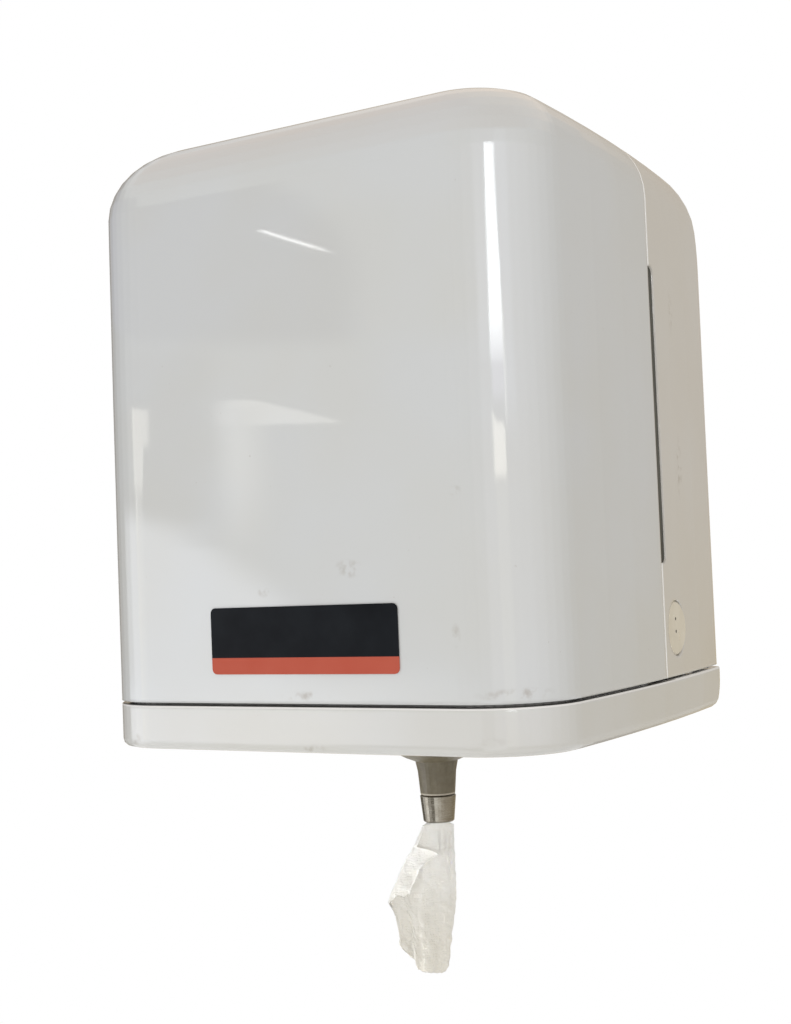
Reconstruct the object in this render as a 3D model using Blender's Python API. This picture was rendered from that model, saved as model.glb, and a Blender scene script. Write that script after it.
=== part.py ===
"""Wall-mounted centre-feed paper towel dispenser.

A glossy front cover swings up on two tongues at the top of a rear casing.  A base tray
closes the housing from below and carries a flared outlet with a turned metal ring, through
which the sheet from the middle of the roll is drawn.  Round push buttons in the sides of
the casing slide the latch hooks that hold the cover shut.

Frame: +X to the right of someone facing the front, +Y into the wall, +Z up.  The origin is
on the back of the casing, where it meets the wall.
"""
import math

import bmesh
import bpy
from mathutils import Matrix, Vector

MM = 0.001

# Clearances and overruns
SEAT = 0.3 * MM
RUNNING_FIT = 0.08 * MM
OVERRUN = 6 * MM

# Housing as a whole
HOUSING_WIDTH = 245 * MM
HOUSING_DEPTH = 254.5 * MM
HOUSING_HEIGHT = 272 * MM
MOUNT_HEIGHT = 125 * MM
WALL = 2.8 * MM
BACK_WALL = 3 * MM
FRONT_CORNER_RADIUS = 38.3 * MM
REAR_CORNER_RADIUS = 10.6 * MM
SIDE_EDGE_RADIUS = 33.8 * MM
FRONT_EDGE_RADIUS = 36 * MM
REAR_EDGE_RADIUS = 55.3 * MM
SIDE_TAPER = 14.5 * MM
FRONT_LEAN = 2.2 * MM
CORNER_SHRINK_SHARE = 0.5
LEAST_CORNER_RADIUS = 4 * MM
CASING_DEPTH = 107.5 * MM
PARTING_GAP = 0.6 * MM
PARTING_CHAMFER = 0.8 * MM
PARTING_OVERCUT = 1.5 * MM
SEAM_GAP = 1.3 * MM
CORNER_STEPS = 12
SIDE_STEPS = 6
REAR_STEPS = 3
EDGE_STEPS = 12
STRAIGHT_STEPS = 3

# Front cover
COVER_RIB_PITCH = 56 * MM
COVER_RIB_COUNT = 3
COVER_RIB_THICKNESS = 1.6 * MM
COVER_RIB_DEPTH = 5 * MM
COVER_RIB_END_MARGIN = 14 * MM

# Top hinge
HINGE_SPACING = 112 * MM
TONGUE_WIDTH = 22 * MM
HINGE_SETBACK = 25 * MM
KNUCKLE_RADIUS = 5 * MM
HINGE_DROP = 5.2 * MM
TONGUE_SIDE_GAP = 0.5 * MM
TONGUE_END_GAP = 1.5 * MM
HINGE_PIN_RADIUS = 1.5 * MM
HINGE_LUG_THICKNESS = 3.6 * MM
HINGE_LUG_RADIUS = 5.4 * MM

# Base tray
TRAY_HEIGHT = 21.5 * MM
TRAY_WALL = 3 * MM
DECK_THICKNESS = 3 * MM
TRAY_EDGE_RADIUS = 3.6 * MM
TRAY_REAR_EDGE_RADIUS = 17 * MM
TRAY_SIDE_TAPER = 13.5 * MM
TRAY_REAR_CORNER_RADIUS = 8 * MM
TRAY_EDGE_STEPS = 7
TRAY_TOP_CHAMFER = 0.5 * MM
TRAY_LIP_INSET = 5.2 * MM
TRAY_LIP_THICKNESS = 1.6 * MM
TRAY_LIP_HEIGHT = 3 * MM
ROLL_RIB_COUNT = 8
ROLL_RIB_THICKNESS = 2 * MM
ROLL_RIB_HEIGHT = 3 * MM
ROLL_RIB_INNER = 52 * MM
ROLL_RIB_MARGIN = 3 * MM
COLLAR_GAP = 3.6 * MM
COLLAR_THICKNESS = 2.4 * MM
COLLAR_DEPTH = 8 * MM
TRAY_WEB_COUNT = 12
TRAY_WEB_THICKNESS = 1.8 * MM
TRAY_WEB_DEPTH = 8 * MM

# Tray fixings
BOSS_RADIUS = 5.6 * MM
BOSS_HEIGHT = 22 * MM
BOSS_INSET = 4.2 * MM
BOSS_REAR_DEPTH = 22 * MM
BOSS_FRONT_DEPTH = 58 * MM
SCREW_RADIUS = 1.7 * MM
SCREW_LENGTH = 14 * MM
SCREW_HEAD_RADIUS = 3.4 * MM
SCREW_HEAD_HEIGHT = 2.2 * MM
SCREW_DRIVE_RADIUS = 1.5 * MM
SCREW_DRIVE_DEPTH = 1.3 * MM

# Outlet
OUTLET_SETBACK = 3.75 * MM
OUTLET_FLANGE_RADIUS = 48 * MM
OUTLET_FLANGE_THICKNESS = 2 * MM
OUTLET_MOUTH_RADIUS = 43.2 * MM
OUTLET_WALL = 1.7 * MM
OUTLET_END_RADIUS = 8.9 * MM
OUTLET_NECK_RADIUS = 10.2 * MM
OUTLET_NECK_LENGTH = 15.6 * MM
OUTLET_FILLET = 3 * MM
OUTLET_LENGTH = 57.9 * MM
OUTLET_SPIGOT_LENGTH = 5 * MM
OUTLET_SPIGOT_RADIUS = 7.1 * MM
OUTLET_BORE_RADIUS = 6 * MM
SNAP_COUNT = 3
SNAP_TURN_SHARE = 0.25
SNAP_WIDTH = 9 * MM
SNAP_THICKNESS = 1.6 * MM
SNAP_FREE_GAP = 1.6 * MM
SNAP_BARB = 1.8 * MM
SNAP_BARB_HEIGHT = 1.6 * MM
OUTLET_NECK_STEPS = 4
OUTLET_STEPS = 8

# Turned ring on the outlet
RING_LENGTH = 13.8 * MM
RING_TOP_RADIUS = 9.2 * MM
RING_END_RADIUS = 7.9 * MM
RING_END_BORE = 6.6 * MM
RING_EDGE = 0.6 * MM
ROUND_STEPS = 32
BORE_STEPS = 24
SMALL_STEPS = 20
ROLL_STEPS = 56

# Side windows
WINDOW_SLOT_LENGTH = 147 * MM
WINDOW_SLOT_WIDTH = 7.4 * MM
WINDOW_SLOT_HEIGHT = 57 * MM
WINDOW_CORNER_RADIUS = 3 * MM
WINDOW_THICKNESS = 1.6 * MM
WINDOW_RECESS = 0.8 * MM
WINDOW_OVERLAP = 5 * MM
WINDOW_RAIL_THICKNESS = 1.6 * MM
WINDOW_RAIL_DEPTH = 2.4 * MM

# Push buttons
BUTTON_DEPTH = 87.5 * MM
BUTTON_HEIGHT = 24.2 * MM
BUTTON_RADIUS = 13.4 * MM
BUTTON_GAP = 0.5 * MM
BUTTON_RECESS = 0.4 * MM
BUTTON_DISC = 3 * MM
BUTTON_SKIRT_WALL = 1.5 * MM
BUTTON_SKIRT_LENGTH = 2 * MM
BUTTON_BEVEL = 0.6 * MM
BUTTON_TRAVEL = 4.5 * MM
BUTTON_END_CLEARANCE = 0.5 * MM
BUTTON_STEM_RADIUS = 3.5 * MM
BUTTON_DOT_RADIUS = 0.9 * MM
BUTTON_DOT_DEPTH = 0.7 * MM
BUTTON_DOT_HIGH = 4.6 * MM
BUTTON_DOT_LOW = 1.6 * MM
BUTTON_BAR_SIDE = 4.4 * MM
BUTTON_BAR_LENGTH = 4.5 * MM
BUTTON_BAR_WIDTH = 1.2 * MM
BUTTON_BAR_HEIGHT = 0.4 * MM
WELL_WALL = 2 * MM
WELL_CAP_THICKNESS = 2.4 * MM
WELL_SPIGOT_LENGTH = 2 * MM
WELL_SPIGOT_WALL = 1.6 * MM
WELL_DEPTH = (BUTTON_DISC + BUTTON_SKIRT_LENGTH + BUTTON_TRAVEL + BUTTON_END_CLEARANCE
              + WELL_SPIGOT_LENGTH)

# Latch springs
SPRING_RADIUS = 6.2 * MM
SPRING_WIRE = 0.4 * MM
SPRING_TURNS = 4
SPRING_POINTS = 10

# Latch hooks and the cover's catch arms
HOOK_THICKNESS = 3 * MM
HOOK_BOSS_RADIUS = 6 * MM
HOOK_BOSS_LENGTH = 6.4 * MM
HOOK_STEM_GRIP = 4.2 * MM
HOOK_RISE = 21.5 * MM
HOOK_BAR_HEIGHT = 8 * MM
HOOK_REACH = 15.5 * MM
NOSE_LENGTH = 4.6 * MM
NOSE_WIDTH = 3.2 * MM
NOSE_RAMP_SHARE = 0.7
CATCH_THICKNESS = 1.6 * MM
CATCH_ENGAGEMENT = 2 * MM
CATCH_PLAY = 0.5 * MM
CATCH_LEDGE = 2.2 * MM
CATCH_LEDGE_DROP = 4.6 * MM
CATCH_BASE_LENGTH = 12 * MM
CATCH_BASE_SETBACK = 3 * MM

# Wall fixing holes
KEYHOLE_SPACING = 140 * MM
KEYHOLE_HEIGHT = 62 * MM
KEYHOLE_DROP = 85 * MM
KEYHOLE_HEAD_RADIUS = 5 * MM
KEYHOLE_NECK_RADIUS = 2.6 * MM
KEYHOLE_NECK_ROUND_SHARE = 0.98
KEYHOLE_RISE = 10 * MM
KEYHOLE_PAD_RADIUS = 9.5 * MM
KEYHOLE_PAD_HEIGHT = 2 * MM
BACK_RIB_THICKNESS = 1.8 * MM
BACK_RIB_HEIGHT = 5 * MM
BACK_RIB_SPACING = 72 * MM

# Front label
LABEL_WIDTH = 101.4 * MM
LABEL_HEIGHT = 30.5 * MM
LABEL_SHIFT = 5.2 * MM
LABEL_LOW_EDGE = 13.9 * MM
LABEL_THICKNESS = 0.25 * MM
LABEL_GAP = 0.2 * MM
LABEL_CORNER_RADIUS = 2.5 * MM

# Paper
ROLL_SIDE_SPACE = 27.5 * MM
ROLL_DEPTH_SPACE = 32.25 * MM
ROLL_LENGTH = 205 * MM
ROLL_BORE_RADIUS = 30 * MM
ROLL_EDGE = 1.2 * MM
FEED_RADIUS = 4.6 * MM
FEED_FOLD = 0.9 * MM
FEED_FOLD_COUNT = 3
FEED_START_HEIGHT = 95 * MM
FEED_POINTS = 12
FEED_STEPS = 20
TAIL_LENGTH = 74.2 * MM
TAIL_REACH = 27.6 * MM
TAIL_NECK = 2.2 * MM
TAIL_NECK_RADIUS = 5.2 * MM
TAIL_SHEET = 1.0 * MM
TAIL_FOLD_DEPTH = 4.2 * MM
TAIL_FOLD_COUNT = 3
TAIL_TURN = math.radians(31.4)
TAIL_STEPS_ACROSS = 22
TAIL_STEPS_DOWN = 18
TAIL_DROP_SHARES = (0, 0.08, 0.19, 0.36, 0.44, 0.50, 0.56, 0.64, 0.78, 0.90, 1)
TAIL_LEFT_SHARES = (0.30, 0.47, 0.67, 0.93, 1.0, 0.92, 0.83, 0.83, 0.80, 0.60, 0.40)
TAIL_RIGHT_SHARES = (0.24, 0.25, 0.26, 0.26, 0.25, 0.24, 0.21, 0.17, 0.13, 0.09, 0.04)

# Places that follow from the sizes above
HALF_WIDTH = HOUSING_WIDTH / 2
SEAM_Z = -MOUNT_HEIGHT
HOUSING_BOTTOM = SEAM_Z + SEAM_GAP / 2
HOUSING_TOP = SEAM_Z + HOUSING_HEIGHT
TRAY_TOP = SEAM_Z - SEAM_GAP / 2
TRAY_BOTTOM = SEAM_Z - TRAY_HEIGHT
DECK_BOTTOM = TRAY_TOP - DECK_THICKNESS
PARTING_Y = -CASING_DEPTH
TAPER_START = -HOUSING_DEPTH + FRONT_CORNER_RADIUS
TAPER_SPAN = HOUSING_DEPTH - FRONT_CORNER_RADIUS - REAR_CORNER_RADIUS
HINGE_Y = PARTING_Y + HINGE_SETBACK
HINGE_Z = HOUSING_TOP - HINGE_DROP
OUTLET_Y = -HOUSING_DEPTH / 2 - OUTLET_SETBACK
ROLL_RADIUS = min(HALF_WIDTH - ROLL_SIDE_SPACE, HOUSING_DEPTH / 2 - ROLL_DEPTH_SPACE)
BUTTON_Y = -BUTTON_DEPTH
BUTTON_Z = SEAM_Z + BUTTON_HEIGHT
CATCH_Z = BUTTON_Z + HOOK_RISE
WINDOW_LOW = SEAM_Z + WINDOW_SLOT_HEIGHT
WINDOW_HIGH = WINDOW_LOW + WINDOW_SLOT_LENGTH
RING_TOP = TRAY_TOP + OUTLET_FLANGE_THICKNESS - OUTLET_LENGTH
RING_BOTTOM = RING_TOP - RING_LENGTH
SIDES = {"right": 1, "left": -1}


def clear_scene():
    for item in list(bpy.data.objects):
        bpy.data.objects.remove(item, do_unlink=True)


def material(name, colour, roughness, metallic=0.0, alpha=1.0):
    found = bpy.data.materials.new(name)
    found.use_nodes = True
    shader = found.node_tree.nodes["Principled BSDF"]
    shader.inputs["Base Color"].default_value = (*colour, 1.0)
    shader.inputs["Roughness"].default_value = roughness
    shader.inputs["Metallic"].default_value = metallic
    shader.inputs["Alpha"].default_value = alpha
    return found


def new_object(name, mesh):
    made = bpy.data.objects.new(name, mesh)
    bpy.context.scene.collection.objects.link(made)
    return made


def from_bmesh(name, shape):
    bmesh.ops.recalc_face_normals(shape, faces=shape.faces)
    mesh = bpy.data.meshes.new(name)
    shape.to_mesh(mesh)
    shape.free()
    return new_object(name, mesh)


def loft(name, rings):
    """A closed solid through rings of equally many points, listed from one end to the other."""
    shape = bmesh.new()
    rows = [[shape.verts.new(point) for point in ring] for ring in rings]
    count = len(rows[0])
    for lower, upper in zip(rows, rows[1:]):
        for i in range(count):
            j = (i + 1) % count
            shape.faces.new((lower[i], lower[j], upper[j], upper[i]))
    shape.faces.new(list(reversed(rows[0])))
    shape.faces.new(rows[-1])
    return from_bmesh(name, shape)


def box(name, low, high):
    shape = bmesh.new()
    bmesh.ops.create_cube(shape, size=1)
    centre = (Vector(low) + Vector(high)) / 2
    spans = Vector(high) - Vector(low)
    bmesh.ops.scale(shape, vec=spans, verts=shape.verts)
    bmesh.ops.translate(shape, vec=centre, verts=shape.verts)
    return from_bmesh(name, shape)


def prism(name, outline, axis, start, end):
    """The outline's points (a, b) swept along an axis: a and b are the other two axes in order."""
    def place(a, b, along):
        if axis == "X":
            return Vector((along, a, b))
        if axis == "Y":
            return Vector((a, along, b))
        return Vector((a, b, along))
    rings = [[place(a, b, along) for a, b in outline] for along in (start, end)]
    return loft(name, rings)


def disc_outline(centre, radius, steps=ROUND_STEPS):
    """A circle's points, turned by half a step so that a flat faces each axis."""
    points = []
    for i in range(steps):
        angle = (i + 0.5) * math.tau / steps
        points.append((centre[0] + radius * math.cos(angle), centre[1] + radius * math.sin(angle)))
    return points


def cylinder(name, axis, centre, radius, start, end, steps=ROUND_STEPS):
    return prism(name, disc_outline(centre, radius, steps), axis, start, end)


def turned(name, centre, profile, steps=ROUND_STEPS):
    """A body turned about the vertical through centre from a closed profile of (radius, height)."""
    shape = bmesh.new()
    columns = []
    for i in range(steps):
        angle = (i + 0.5) * math.tau / steps
        across = Vector((math.cos(angle), math.sin(angle), 0))
        foot = Vector((centre[0], centre[1], 0))
        columns.append([shape.verts.new(foot + across * r + Vector((0, 0, z))) for r, z in profile])
    count = len(profile)
    for i in range(steps):
        here = columns[i]
        there = columns[(i + 1) % steps]
        for k in range(count):
            m = (k + 1) % count
            shape.faces.new((here[k], there[k], there[m], here[m]))
    return from_bmesh(name, shape)


def rounded_outline(low, high, radius, steps=4):
    """A rectangle's points with rounded corners, from its low corner to its high corner."""
    points = []
    corners = ((high[0] - radius, high[1] - radius, 0), (low[0] + radius, high[1] - radius, 1),
               (low[0] + radius, low[1] + radius, 2), (high[0] - radius, low[1] + radius, 3))
    for a, b, quarter in corners:
        for i in range(steps + 1):
            angle = (quarter + i / steps) * math.pi / 2
            points.append((a + radius * math.cos(angle), b + radius * math.sin(angle)))
    return points


def on_side(sign, a, b):
    """Two distances from the middle plane, placed on one side of it and put in order."""
    return sorted((sign * a, sign * b))


def combine(target, tool, operation):
    """Joins, cuts or crosses the target with the tool, which is used up."""
    change = target.modifiers.new(operation, "BOOLEAN")
    change.operation = operation
    change.solver = "EXACT"
    change.object = tool
    bpy.context.view_layer.update()
    evaluated = target.evaluated_get(bpy.context.evaluated_depsgraph_get())
    result = bpy.data.meshes.new_from_object(evaluated)
    target.modifiers.remove(change)
    old = target.data
    target.data = result
    bpy.data.meshes.remove(old)
    spent = tool.data
    bpy.data.objects.remove(tool, do_unlink=True)
    bpy.data.meshes.remove(spent)
    return target


def cut(target, tool):
    return combine(target, tool, "DIFFERENCE")


def join(target, tool):
    return combine(target, tool, "UNION")


def finish(made, name, look, origin=None, parent=None, smooth=True):
    """Names the piece, gives it its material and puts its origin where it turns or slides."""
    made.name = name
    made.data.name = name
    if origin is not None:
        made.data.transform(Matrix.Translation(-Vector(origin)))
        made.location = origin
    made.data.materials.clear()
    made.data.materials.append(look)
    if smooth:
        made.data.shade_smooth()
        made.data.set_sharp_from_angle(angle=math.radians(32))
    if parent is not None:
        bpy.context.view_layer.update()
        made.parent = parent
        made.matrix_parent_inverse = parent.matrix_world.inverted()
    return made


def axis_empty(name, place):
    made = bpy.data.objects.new(name, None)
    made.location = place
    bpy.context.scene.collection.objects.link(made)
    bpy.context.view_layer.update()
    return made


def quarter(depth, radius):
    """How far a quarter-round edge has drawn in, a given depth into it."""
    if depth <= 0:
        return 0.0
    return radius - math.sqrt(max(radius ** 2 - depth ** 2, 0.0))


def plan_ring(z, half, front, rear, front_radius, rear_radius, taper):
    """The housing's outline at one height: rounded front corners and sides that draw in to the wall."""
    start = front + front_radius
    stop = rear - rear_radius

    def side(y):
        return half - taper * (max(0.0, y - start) / TAPER_SPAN) ** 2
    right = []
    for i in range(CORNER_STEPS + 1):
        angle = i * math.pi / 2 / CORNER_STEPS
        right.append((half - front_radius + front_radius * math.sin(angle),
                      start - front_radius * math.cos(angle)))
    for i in range(1, SIDE_STEPS + 1):
        y = start + (stop - start) * i / SIDE_STEPS
        right.append((side(y), y))
    for i in range(1, REAR_STEPS + 1):
        angle = i * math.pi / 2 / REAR_STEPS
        right.append((side(stop) - rear_radius + rear_radius * math.cos(angle),
                      stop + rear_radius * math.sin(angle)))
    left = [(-x, y) for x, y in reversed(right)]
    return [Vector((x, y, z)) for x, y in right + left]


def side_x(y, inset=0.0):
    """The outer face of the straight part of the right side, or a face inset from it."""
    return HALF_WIDTH - inset - SIDE_TAPER * (max(0.0, y - TAPER_START) / TAPER_SPAN) ** 2


def housing_ring(z, inset, back):
    top = HOUSING_TOP - inset
    drawn_side = quarter(z - (HOUSING_TOP - SIDE_EDGE_RADIUS), SIDE_EDGE_RADIUS - inset)
    drawn_front = quarter(z - (HOUSING_TOP - FRONT_EDGE_RADIUS), FRONT_EDGE_RADIUS - inset)
    drawn_rear = quarter(z - (HOUSING_TOP - REAR_EDGE_RADIUS), REAR_EDGE_RADIUS - inset)
    rise = min(max((z - SEAM_Z) / (top - SEAM_Z), 0.0), 1.0)
    front = -HOUSING_DEPTH + inset + FRONT_LEAN * rise ** 2 + drawn_front
    corner = FRONT_CORNER_RADIUS - inset - CORNER_SHRINK_SHARE * min(drawn_side, drawn_front)
    corner = max(corner, LEAST_CORNER_RADIUS)
    rear_corner = max(REAR_CORNER_RADIUS - inset, LEAST_CORNER_RADIUS)
    return plan_ring(z, HALF_WIDTH - inset - drawn_side, front, -back - drawn_rear,
                     corner, rear_corner, SIDE_TAPER)


def housing_solid(name, inset, back, bottom):
    """The whole housing, cover and casing together, as one solid: its outside or its hollow."""
    return loft(name, [housing_ring(z, inset, back) for z in housing_heights(inset, bottom)])


def housing_heights(inset, bottom):
    reach = REAR_EDGE_RADIUS - inset
    shoulder = HOUSING_TOP - inset - reach
    heights = [bottom + (shoulder - bottom) * i / STRAIGHT_STEPS for i in range(STRAIGHT_STEPS)]
    for i in range(EDGE_STEPS + 1):
        heights.append(shoulder + reach * math.sin(i * math.pi / 2 / EDGE_STEPS))
    return heights


def parting_wedge(name, edge, chamfer):
    """A three-sided strip that takes the corner off a shell's edge, up one side, over and down the other."""
    half = side_x(edge)
    centre = Vector((half - SIDE_EDGE_RADIUS, 0, HOUSING_TOP - SIDE_EDGE_RADIUS))
    path = []
    for z in housing_heights(0.0, SEAM_Z - OVERRUN):
        x = half - quarter(z - centre.z, SIDE_EDGE_RADIUS)
        out = Vector((1, 0, 0))
        if z > centre.z:
            out = (Vector((x, 0, z)) - centre).normalized()
        path.append((Vector((x, edge, z)), out))
    path.append((Vector((0, edge, HOUSING_TOP)), Vector((0, 0, 1))))
    flip = Matrix.Diagonal((-1, 1, 1))
    path += [(flip @ place, flip @ out) for place, out in reversed(path[:-1])]
    back = Vector((0, 1, 0))
    rings = []
    for place, out in path:
        reach = chamfer + PARTING_OVERCUT
        rings.append([place - out * reach - back * PARTING_OVERCUT,
                      place + (out - back) * PARTING_OVERCUT,
                      place + out * PARTING_OVERCUT + back * reach])
    return loft(name, rings)


def mirrored(points, sign):
    return [(sign * a, b) for a, b in points]


def hinge_tongue(centre_x, grow=0.0):
    """A flat tongue with a round knuckle on the hinge axis, seen along X."""
    half = TONGUE_WIDTH / 2 + grow
    knuckle = cylinder("knuckle", "X", (HINGE_Y, HINGE_Z), KNUCKLE_RADIUS, centre_x - half,
                       centre_x + half, BORE_STEPS)
    plate = box("tongue", (centre_x - half, PARTING_Y - WALL, HOUSING_TOP - WALL),
                (centre_x + half, HINGE_Y, HOUSING_TOP))
    return join(knuckle, plate)


def make_cover(look, parent):
    hollow = housing_solid("cover_hollow", WALL, BACK_WALL, HOUSING_BOTTOM - OVERRUN)
    inner_front = -HOUSING_DEPTH + WALL
    low = HOUSING_BOTTOM + COVER_RIB_END_MARGIN
    high = HOUSING_TOP - FRONT_EDGE_RADIUS - COVER_RIB_END_MARGIN
    for i in range(COVER_RIB_COUNT):
        x = (i - (COVER_RIB_COUNT - 1) / 2) * COVER_RIB_PITCH
        rib = box("cover_rib", (x - COVER_RIB_THICKNESS / 2, inner_front - OVERRUN, low),
                  (x + COVER_RIB_THICKNESS / 2, inner_front + COVER_RIB_DEPTH, high))
        cut(hollow, rib)
    for z in (low, high):
        half = COVER_RIB_PITCH * (COVER_RIB_COUNT - 1) / 2 + COVER_RIB_THICKNESS / 2
        rib = box("cover_cross_rib", (-half, inner_front - OVERRUN, z - COVER_RIB_THICKNESS / 2),
                  (half, inner_front + COVER_RIB_DEPTH, z + COVER_RIB_THICKNESS / 2))
        cut(hollow, rib)
    for sign in SIDES.values():
        pad = on_side(sign, catch_face_x(), HALF_WIDTH + OVERRUN)
        cut(hollow, box("catch_pad", (pad[0], catch_base_front(), CATCH_Z - HOOK_BAR_HEIGHT / 2),
                        (pad[1], catch_base_rear(), CATCH_Z + HOOK_BAR_HEIGHT / 2)))
    cover = housing_solid("cover", 0.0, 0.0, HOUSING_BOTTOM)
    cut(cover, hollow)
    edge = PARTING_Y - PARTING_GAP / 2
    cut(cover, box("behind_parting", (-HOUSING_WIDTH, edge, TRAY_BOTTOM),
                   (HOUSING_WIDTH, HOUSING_DEPTH, HOUSING_TOP + OVERRUN)))
    for sign in SIDES.values():
        x = sign * HINGE_SPACING / 2
        join(cover, hinge_tongue(x))
        bore = HINGE_PIN_RADIUS + RUNNING_FIT
        cut(cover, cylinder("hinge_bore", "X", (HINGE_Y, HINGE_Z), bore, x - TONGUE_WIDTH,
                            x + TONGUE_WIDTH, BORE_STEPS))
    return finish(cover, "front_cover", look, (0, HINGE_Y, HINGE_Z), parent)


def well_floor_x():
    """Where the button's well ends, inside the right wall."""
    return button_face_x() - WELL_DEPTH


def button_face_x():
    return side_x(BUTTON_Y) - BUTTON_RECESS


def hook_outer_x():
    """The hook bar's face towards the wall: just inside the well's cap."""
    return well_floor_x() - SEAT - WELL_CAP_THICKNESS - SEAT


def nose_tip_x():
    return hook_outer_x() + NOSE_LENGTH


def catch_face_x():
    """The inner face of the cover's pad, on which the catch arm lies."""
    return nose_tip_x() - CATCH_ENGAGEMENT + CATCH_LEDGE_DROP + CATCH_THICKNESS + SEAT


def nose_rear_y():
    return BUTTON_Y - HOOK_REACH + NOSE_WIDTH


def catch_base_front():
    return PARTING_Y - CATCH_BASE_SETBACK - CATCH_BASE_LENGTH


def catch_base_rear():
    return PARTING_Y - CATCH_BASE_SETBACK


def make_casing(look):
    hollow = housing_solid("casing_hollow", WALL, BACK_WALL, HOUSING_BOTTOM - OVERRUN)
    inner_back = -BACK_WALL
    # Hinge lugs under the top wall, one each side of each tongue
    for sign in SIDES.values():
        for edge in (-1, 1):
            inner = sign * HINGE_SPACING / 2 + edge * (TONGUE_WIDTH / 2 + TONGUE_SIDE_GAP)
            span = sorted((inner, inner + edge * HINGE_LUG_THICKNESS))
            lug = cylinder("lug", "X", (HINGE_Y, HINGE_Z), HINGE_LUG_RADIUS, span[0], span[1], SMALL_STEPS)
            web = box("lug_web", (span[0], HINGE_Y - HINGE_LUG_RADIUS, HINGE_Z),
                      (span[1], HINGE_Y + HINGE_LUG_RADIUS, HOUSING_TOP + OVERRUN))
            cut(hollow, join(lug, web))
    # Button wells, window rails and tray bosses in both sides
    for sign in SIDES.values():
        outer = HALF_WIDTH + OVERRUN
        span = on_side(sign, well_floor_x(), outer)
        cut(hollow, cylinder("well", "X", (BUTTON_Y, BUTTON_Z), BUTTON_RADIUS + BUTTON_GAP + WELL_WALL,
                             span[0], span[1]))
        span = on_side(sign, window_inner_x() - WINDOW_RAIL_DEPTH, outer)
        rear = window_rear_y() + SEAT
        for low, high in (((rear, window_low_z() - SEAT - WINDOW_RAIL_THICKNESS),
                           (rear + WINDOW_RAIL_THICKNESS, window_high_z() + SEAT + WINDOW_RAIL_THICKNESS)),
                          ((PARTING_Y - OVERRUN, window_low_z() - SEAT - WINDOW_RAIL_THICKNESS),
                           (rear + WINDOW_RAIL_THICKNESS / 2, window_low_z() - SEAT)),
                          ((PARTING_Y - OVERRUN, window_high_z() + SEAT),
                           (rear + WINDOW_RAIL_THICKNESS / 2,
                            window_high_z() + SEAT + WINDOW_RAIL_THICKNESS))):
            cut(hollow, box("rail", (span[0], *low), (span[1], *high)))
        for depth in (BOSS_REAR_DEPTH, BOSS_FRONT_DEPTH):
            place = (sign * boss_x(depth), -depth)
            cut(hollow, cylinder("boss", "Z", place, BOSS_RADIUS, HOUSING_BOTTOM - 2 * OVERRUN,
                                 HOUSING_BOTTOM + BOSS_HEIGHT, BORE_STEPS))
            web = on_side(sign, boss_x(depth), outer)
            cut(hollow, box("boss_web", (web[0], -depth - WALL / 2, HOUSING_BOTTOM - 2 * OVERRUN),
                            (web[1], -depth + WALL / 2, HOUSING_BOTTOM + BOSS_HEIGHT)))
    # Ribs and screw pads on the back wall
    for sign in SIDES.values():
        x = sign * BACK_RIB_SPACING / 2
        cut(hollow, box("back_rib", (x - BACK_RIB_THICKNESS / 2, inner_back - BACK_RIB_HEIGHT,
                                     HOUSING_BOTTOM + OVERRUN),
                        (x + BACK_RIB_THICKNESS / 2, OVERRUN, HOUSING_TOP - REAR_EDGE_RADIUS)))
        for z in (KEYHOLE_HEIGHT, -KEYHOLE_DROP):
            cut(hollow, cylinder("pad", "Y", (sign * KEYHOLE_SPACING / 2, z), KEYHOLE_PAD_RADIUS,
                                 inner_back - KEYHOLE_PAD_HEIGHT, OVERRUN, BORE_STEPS))
    for z in (KEYHOLE_HEIGHT, -KEYHOLE_DROP):
        half = KEYHOLE_SPACING / 2 - KEYHOLE_PAD_RADIUS
        cut(hollow, box("back_cross_rib", (-half, inner_back - BACK_RIB_HEIGHT, z - BACK_RIB_THICKNESS / 2),
                        (half, OVERRUN, z + BACK_RIB_THICKNESS / 2)))
    casing = housing_solid("casing", 0.0, 0.0, HOUSING_BOTTOM)
    cut(casing, hollow)
    edge = PARTING_Y + PARTING_GAP / 2
    cut(casing, box("before_parting", (-HOUSING_WIDTH, -2 * HOUSING_DEPTH, TRAY_BOTTOM),
                    (HOUSING_WIDTH, edge, HOUSING_TOP + OVERRUN)))
    cut(casing, parting_wedge("parting_edge", edge, PARTING_CHAMFER))
    # Bosses reach down to the tray's deck
    for sign in SIDES.values():
        for depth in (BOSS_REAR_DEPTH, BOSS_FRONT_DEPTH):
            place = (sign * boss_x(depth), -depth)
            join(casing, cylinder("foot", "Z", place, BOSS_RADIUS - SEAT, TRAY_TOP + SEAT,
                                  HOUSING_BOTTOM + BOSS_HEIGHT / 2, BORE_STEPS))
            cut(casing, cylinder("boss_bore", "Z", place, SCREW_RADIUS + SEAT, TRAY_TOP - OVERRUN,
                                 TRAY_TOP + SEAT + SCREW_LENGTH, SMALL_STEPS))
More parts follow.
